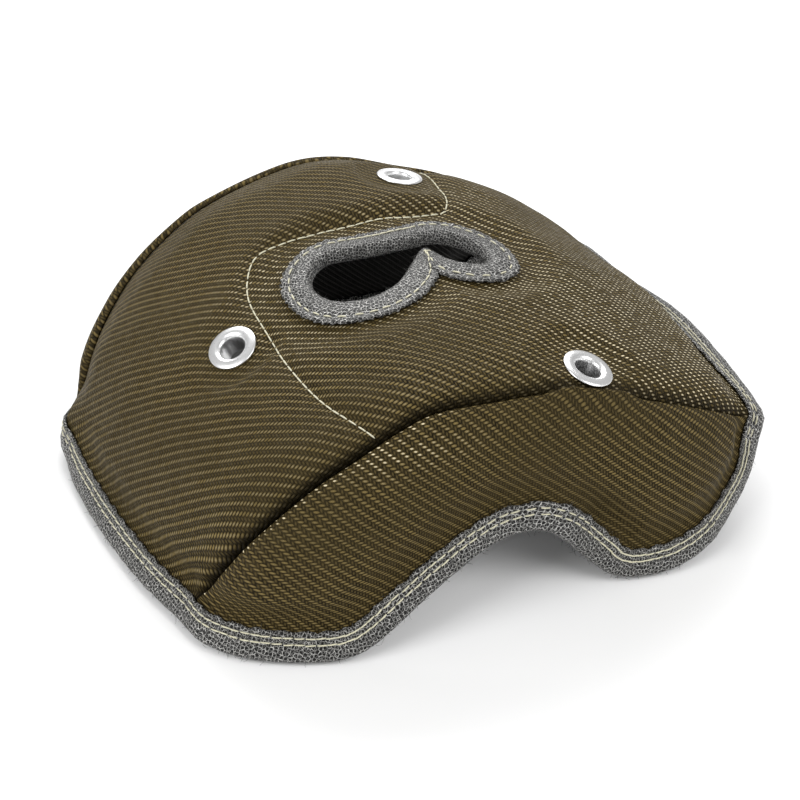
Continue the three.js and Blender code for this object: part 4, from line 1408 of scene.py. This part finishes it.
class BLANKET_OT_eyelets(Operator):
    """Turns the three eyelets and finishes their washers"""

    bl_idname = "blanket.eyelets"
    bl_label = "Eyelets"

    def execute(self, context):
        s = context.scene.blanket_eyelets
        metal = material("eyelet_metal", lambda: metal_material("eyelet_metal", s))
        bore, out = EYELET_BORE / 2, EYELET_OD / 2
        low = -WALL - PUFF_IN * (1 - EYELET_DIMPLE) - 2 * GAP - 0.8
        base = PUFF_OUT * (1 - EYELET_DIMPLE) + GAP
        profile = [
            (bore + BARREL_WALL, low), (bore + BARREL_WALL, base), (out - 0.25, base - 0.2),
            (out, base - 0.05),
            (out + 0.05, base + 0.25), (out - 0.15, base + 0.5), (out - 0.8, base + 0.72),
            (out - 1.7, base + 0.88),
            (out - 2.6, base + 0.95), (bore + 1.5, base + 0.9), (bore + 0.8, base + 0.68),
            (bore + 0.25, base + 0.2),
            (bore + 0.02, base - 0.5), (bore, base - 1.2), (bore, low)]
        for name, c, n in SEATS:
            select_none()
            bpy.ops.mesh.primitive_circle_add(
                vertices=s.steps, radius=profile[0][0] * MM, fill_type="NOTHING",
                location=(0, 0, profile[0][1] * MM))
            piece = bpy.context.object
            piece.name = piece.data.name = f"eyelet_ring_{name}"
            bpy.ops.object.transform_apply(location=True, rotation=True, scale=True)
            edit_all()
            last = profile[0]
            for r, h in profile[1:] + profile[:1]:
                bpy.ops.mesh.extrude_edges_move(TRANSFORM_OT_translate={"value": (0, 0, (h - last[1]) * MM)})
                bpy.ops.transform.resize(value=(r / last[0], r / last[0], 1), center_override=(0, 0, 0))
                last = (r, h)
            bpy.ops.mesh.select_all(action="SELECT")
            bpy.ops.mesh.remove_doubles(threshold=0.00001)
            bpy.ops.mesh.normals_make_consistent(inside=False)
            bpy.ops.object.mode_set(mode="OBJECT")
            piece.rotation_mode = "QUATERNION"
            piece.rotation_quaternion = Vector(n).to_track_quat("Z", "Y")
            piece.location = Vector((c + SHIFT) * MM)
            bpy.ops.object.transform_apply(location=True, rotation=True, scale=True)
            bpy.ops.object.shade_smooth_by_angle(angle=math.radians(50))
            finish_piece(piece, "eyelet_metal", metal, f"eyelet_{name}")
            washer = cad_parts[f"eyelet_washer_{name}"]
            washer.data.materials.clear()
            washer.data.materials.append(metal)
        return {"FINISHED"}


# Loose wire: knit size of its look, share of ends at the leg's edge, wire radius and height over the floor
LOOSE_LOOP = 0.02
AT_LEG_SHARE = 0.35
WIRE_RADIUS = 0.085
WIRE_LENGTHS = (0.7, 2.2)
WIRE_SWAY, WIRE_RISE = (0, 1.1), (0.1, 0.4)
FOLD_MIDDLE, FOLD_SPAN = -3.2, (-2.2, 2.6)
FLOOR_CLEAR = 0.05


class BLANKET_OT_wire_ends(Operator):
    """Lets loose wire ends stand out of the tapes"""

    bl_idname = "blanket.wire_ends"
    bl_label = "Wire ends"

    def execute(self, context):
        s = context.scene.blanket_tape
        rng = np.random.default_rng(21)
        wire = material("loose_wire", lambda: knit_material("loose_wire", s, LOOSE_LOOP, s.wire))
        for name, frames, leg_at, top, count in (
                ("rim_wire_ends", RIM, rim_leg, RIM_TOP, s.ends),
                ("opening_wire_ends", OPEN, open_leg, TAPE_GAP, 150)):
            k = rng.uniform(0, 1, count)
            p, w, n, _ = frames.at(k)
            leg = leg_at(k)
            at_leg = rng.uniform(0, 1, count) < AT_LEG_SHARE
            d = np.where(at_leg, leg - 0.2, 0.1)
            mid = top + TAPE / 2 + FOLD_MIDDLE
            h = np.where(at_leg, top + TAPE * 0.6, mid + rng.uniform(*FOLD_SPAN, count))
            root = p + w * d[:, None] + n * h[:, None]
            side = unit(np.cross(w, n))
            out = np.where(at_leg, 1.0, -1.0)[:, None]
            sway, rise = rng.normal(*WIRE_SWAY, count), rng.normal(*WIRE_RISE, count)
            way = unit(w * out + side * sway[:, None] + n * rise[:, None])
            curl = unit(np.cross(way, rng.normal(0, 1, (count, 3))))
            length = rng.uniform(*WIRE_LENGTHS, count)
            co, faces = [], []
            across = unit(np.cross(way, curl))
            for ring in range(4):
                f = ring / 3
                centre = root + way * (length * f)[:, None] + curl * (length * 0.5 * f * f)[:, None]
                r = WIRE_RADIUS * (1 - 0.5 * f)
                for a in range(3):
                    angle = a * 2 * np.pi / 3
                    co.append(centre + (curl * math.cos(angle) + across * math.sin(angle)) * r)
            co = np.stack(co, 1)
            co[..., 2] = np.maximum(co[..., 2], FLOOR_CLEAR - SHIFT[2])
            for q in range(count):
                b = q * 12
                for ring in range(3):
                    for a in range(3):
                        i, j = b + ring * 3 + a, b + ring * 3 + (a + 1) % 3
                        faces.append((i, j, j + 3, i + 3))
                faces += [(b + 2, b + 1, b), (b + 9, b + 10, b + 11)]
            piece = piece_from(name, co.reshape(-1, 3), faces, "wire")
            select_none()
            piece.select_set(True)
            context.view_layer.objects.active = piece
            bpy.ops.object.mode_set(mode="EDIT")
            close_edit()
            bpy.ops.object.shade_smooth()
            finish_piece(piece, "wire_tape", wire)
        return {"FINISHED"}


# ---- stage


# Name, place, aim, size and power
SOFTBOXES = (
    ("softbox_back", (0.25, 0.75, 0.75), (0.02, 0, 0.05), (0.9, 0.6), 10),
    ("softbox_left", (-0.9, -0.2, 0.7), (0, 0, 0.05), (0.6, 0.6), 6),
    ("softbox_front", (0.5, -0.9, 0.9), (0, 0, 0.03), (0.8, 0.6), 8))


def area_light(name, place, target, size, power):
    select_none()
    bpy.ops.object.light_add(type="AREA", location=place)
    lamp = bpy.context.object
    lamp.name = name
    lamp.data.shape = "RECTANGLE"
    lamp.data.size, lamp.data.size_y = size
    lamp.data.energy = power
    lamp.rotation_mode = "QUATERNION"
    lamp.rotation_quaternion = (Vector(target) - Vector(place)).to_track_quat("-Z", "Y")


class BLANKET_OT_stage(Operator):
    """Sets out the white floor, the lights and the camera"""

    bl_idname = "blanket.stage"
    bl_label = "Stage"

    def execute(self, context):
        s = context.scene.blanket_stage
        select_none()
        bpy.ops.mesh.primitive_plane_add(size=6, location=(0, 0, -0.0002))
        floor = bpy.context.object
        floor.name = "floor"
        m, g, shader = new_material("white_floor", s.floor)
        speck = g.noise(g.place(), 3.0, 1.0)
        g.put(shader["Base Color"], g.mix(speck, rgba(s.floor), rgba(s.floor, 1.02)))
        shader["Roughness"].default_value = 0.6
        shader["Specular IOR Level"].default_value = 0.1
        floor.data.materials.append(m)
        world = bpy.data.worlds.new("studio")
        world.use_nodes = True
        world.node_tree.nodes["Background"].inputs["Color"].default_value = (1, 1, 1, 1)
        world.node_tree.nodes["Background"].inputs["Strength"].default_value = s.surround
        context.scene.world = world
        for lamp in SOFTBOXES:
            area_light(*lamp)
        context.scene.view_settings.view_transform = "Standard"
        context.scene.view_settings.look = "None"
        azimuth, elevation = math.radians(s.azimuth), math.radians(s.elevation)
        back = Vector((math.sin(azimuth) * math.cos(elevation), -math.cos(azimuth) * math.cos(elevation),
                       math.sin(elevation)))
        select_none()
        bpy.ops.object.camera_add(location=Vector(s.target) + back * s.distance)
        camera = bpy.context.object
        camera.name = "photo_camera"
        camera.rotation_mode = "QUATERNION"
        camera.rotation_quaternion = (-back).to_track_quat("-Z", "Y")
        camera.data.sensor_width = 36
        camera.data.lens = s.lens
        camera.data.shift_x = -0.015
        camera.data.clip_start, camera.data.clip_end = 0.01, 20
        context.scene.camera = camera
        return {"FINISHED"}


OPERATORS = (
    BLANKET_OT_outer_panels, BLANKET_OT_padding, BLANKET_OT_liners, BLANKET_OT_tapes, BLANKET_OT_sewing,
    BLANKET_OT_eyelets, BLANKET_OT_wire_ends, BLANKET_OT_stage)


class BLANKET_PT_panel(Panel):
    """Lists the pieces and their settings"""

    bl_label = "Heat blanket"
    bl_space_type = "VIEW_3D"
    bl_region_type = "UI"
    bl_category = "Blanket"

    def draw(self, context):
        for name, kind in SETTINGS:
            box = self.layout.box()
            for key in kind.__annotations__:
                box.prop(getattr(context.scene, name), key)
        for operator in OPERATORS:
            self.layout.operator(operator.bl_idname)


def register():
    for name, kind in SETTINGS:
        bpy.utils.register_class(kind)
        setattr(bpy.types.Scene, name, PointerProperty(type=kind))
    for kind in (*OPERATORS, BLANKET_PT_panel):
        bpy.utils.register_class(kind)


def unregister():
    for kind in reversed((*OPERATORS, BLANKET_PT_panel)):
        bpy.utils.unregister_class(kind)
    for name, kind in reversed(SETTINGS):
        delattr(bpy.types.Scene, name)
        bpy.utils.unregister_class(kind)


def main():
    register()
    for operator in OPERATORS:
        group, name = operator.bl_idname.split(".")
        getattr(getattr(bpy.ops, group), name)()


if __name__ == "__main__":
    main()
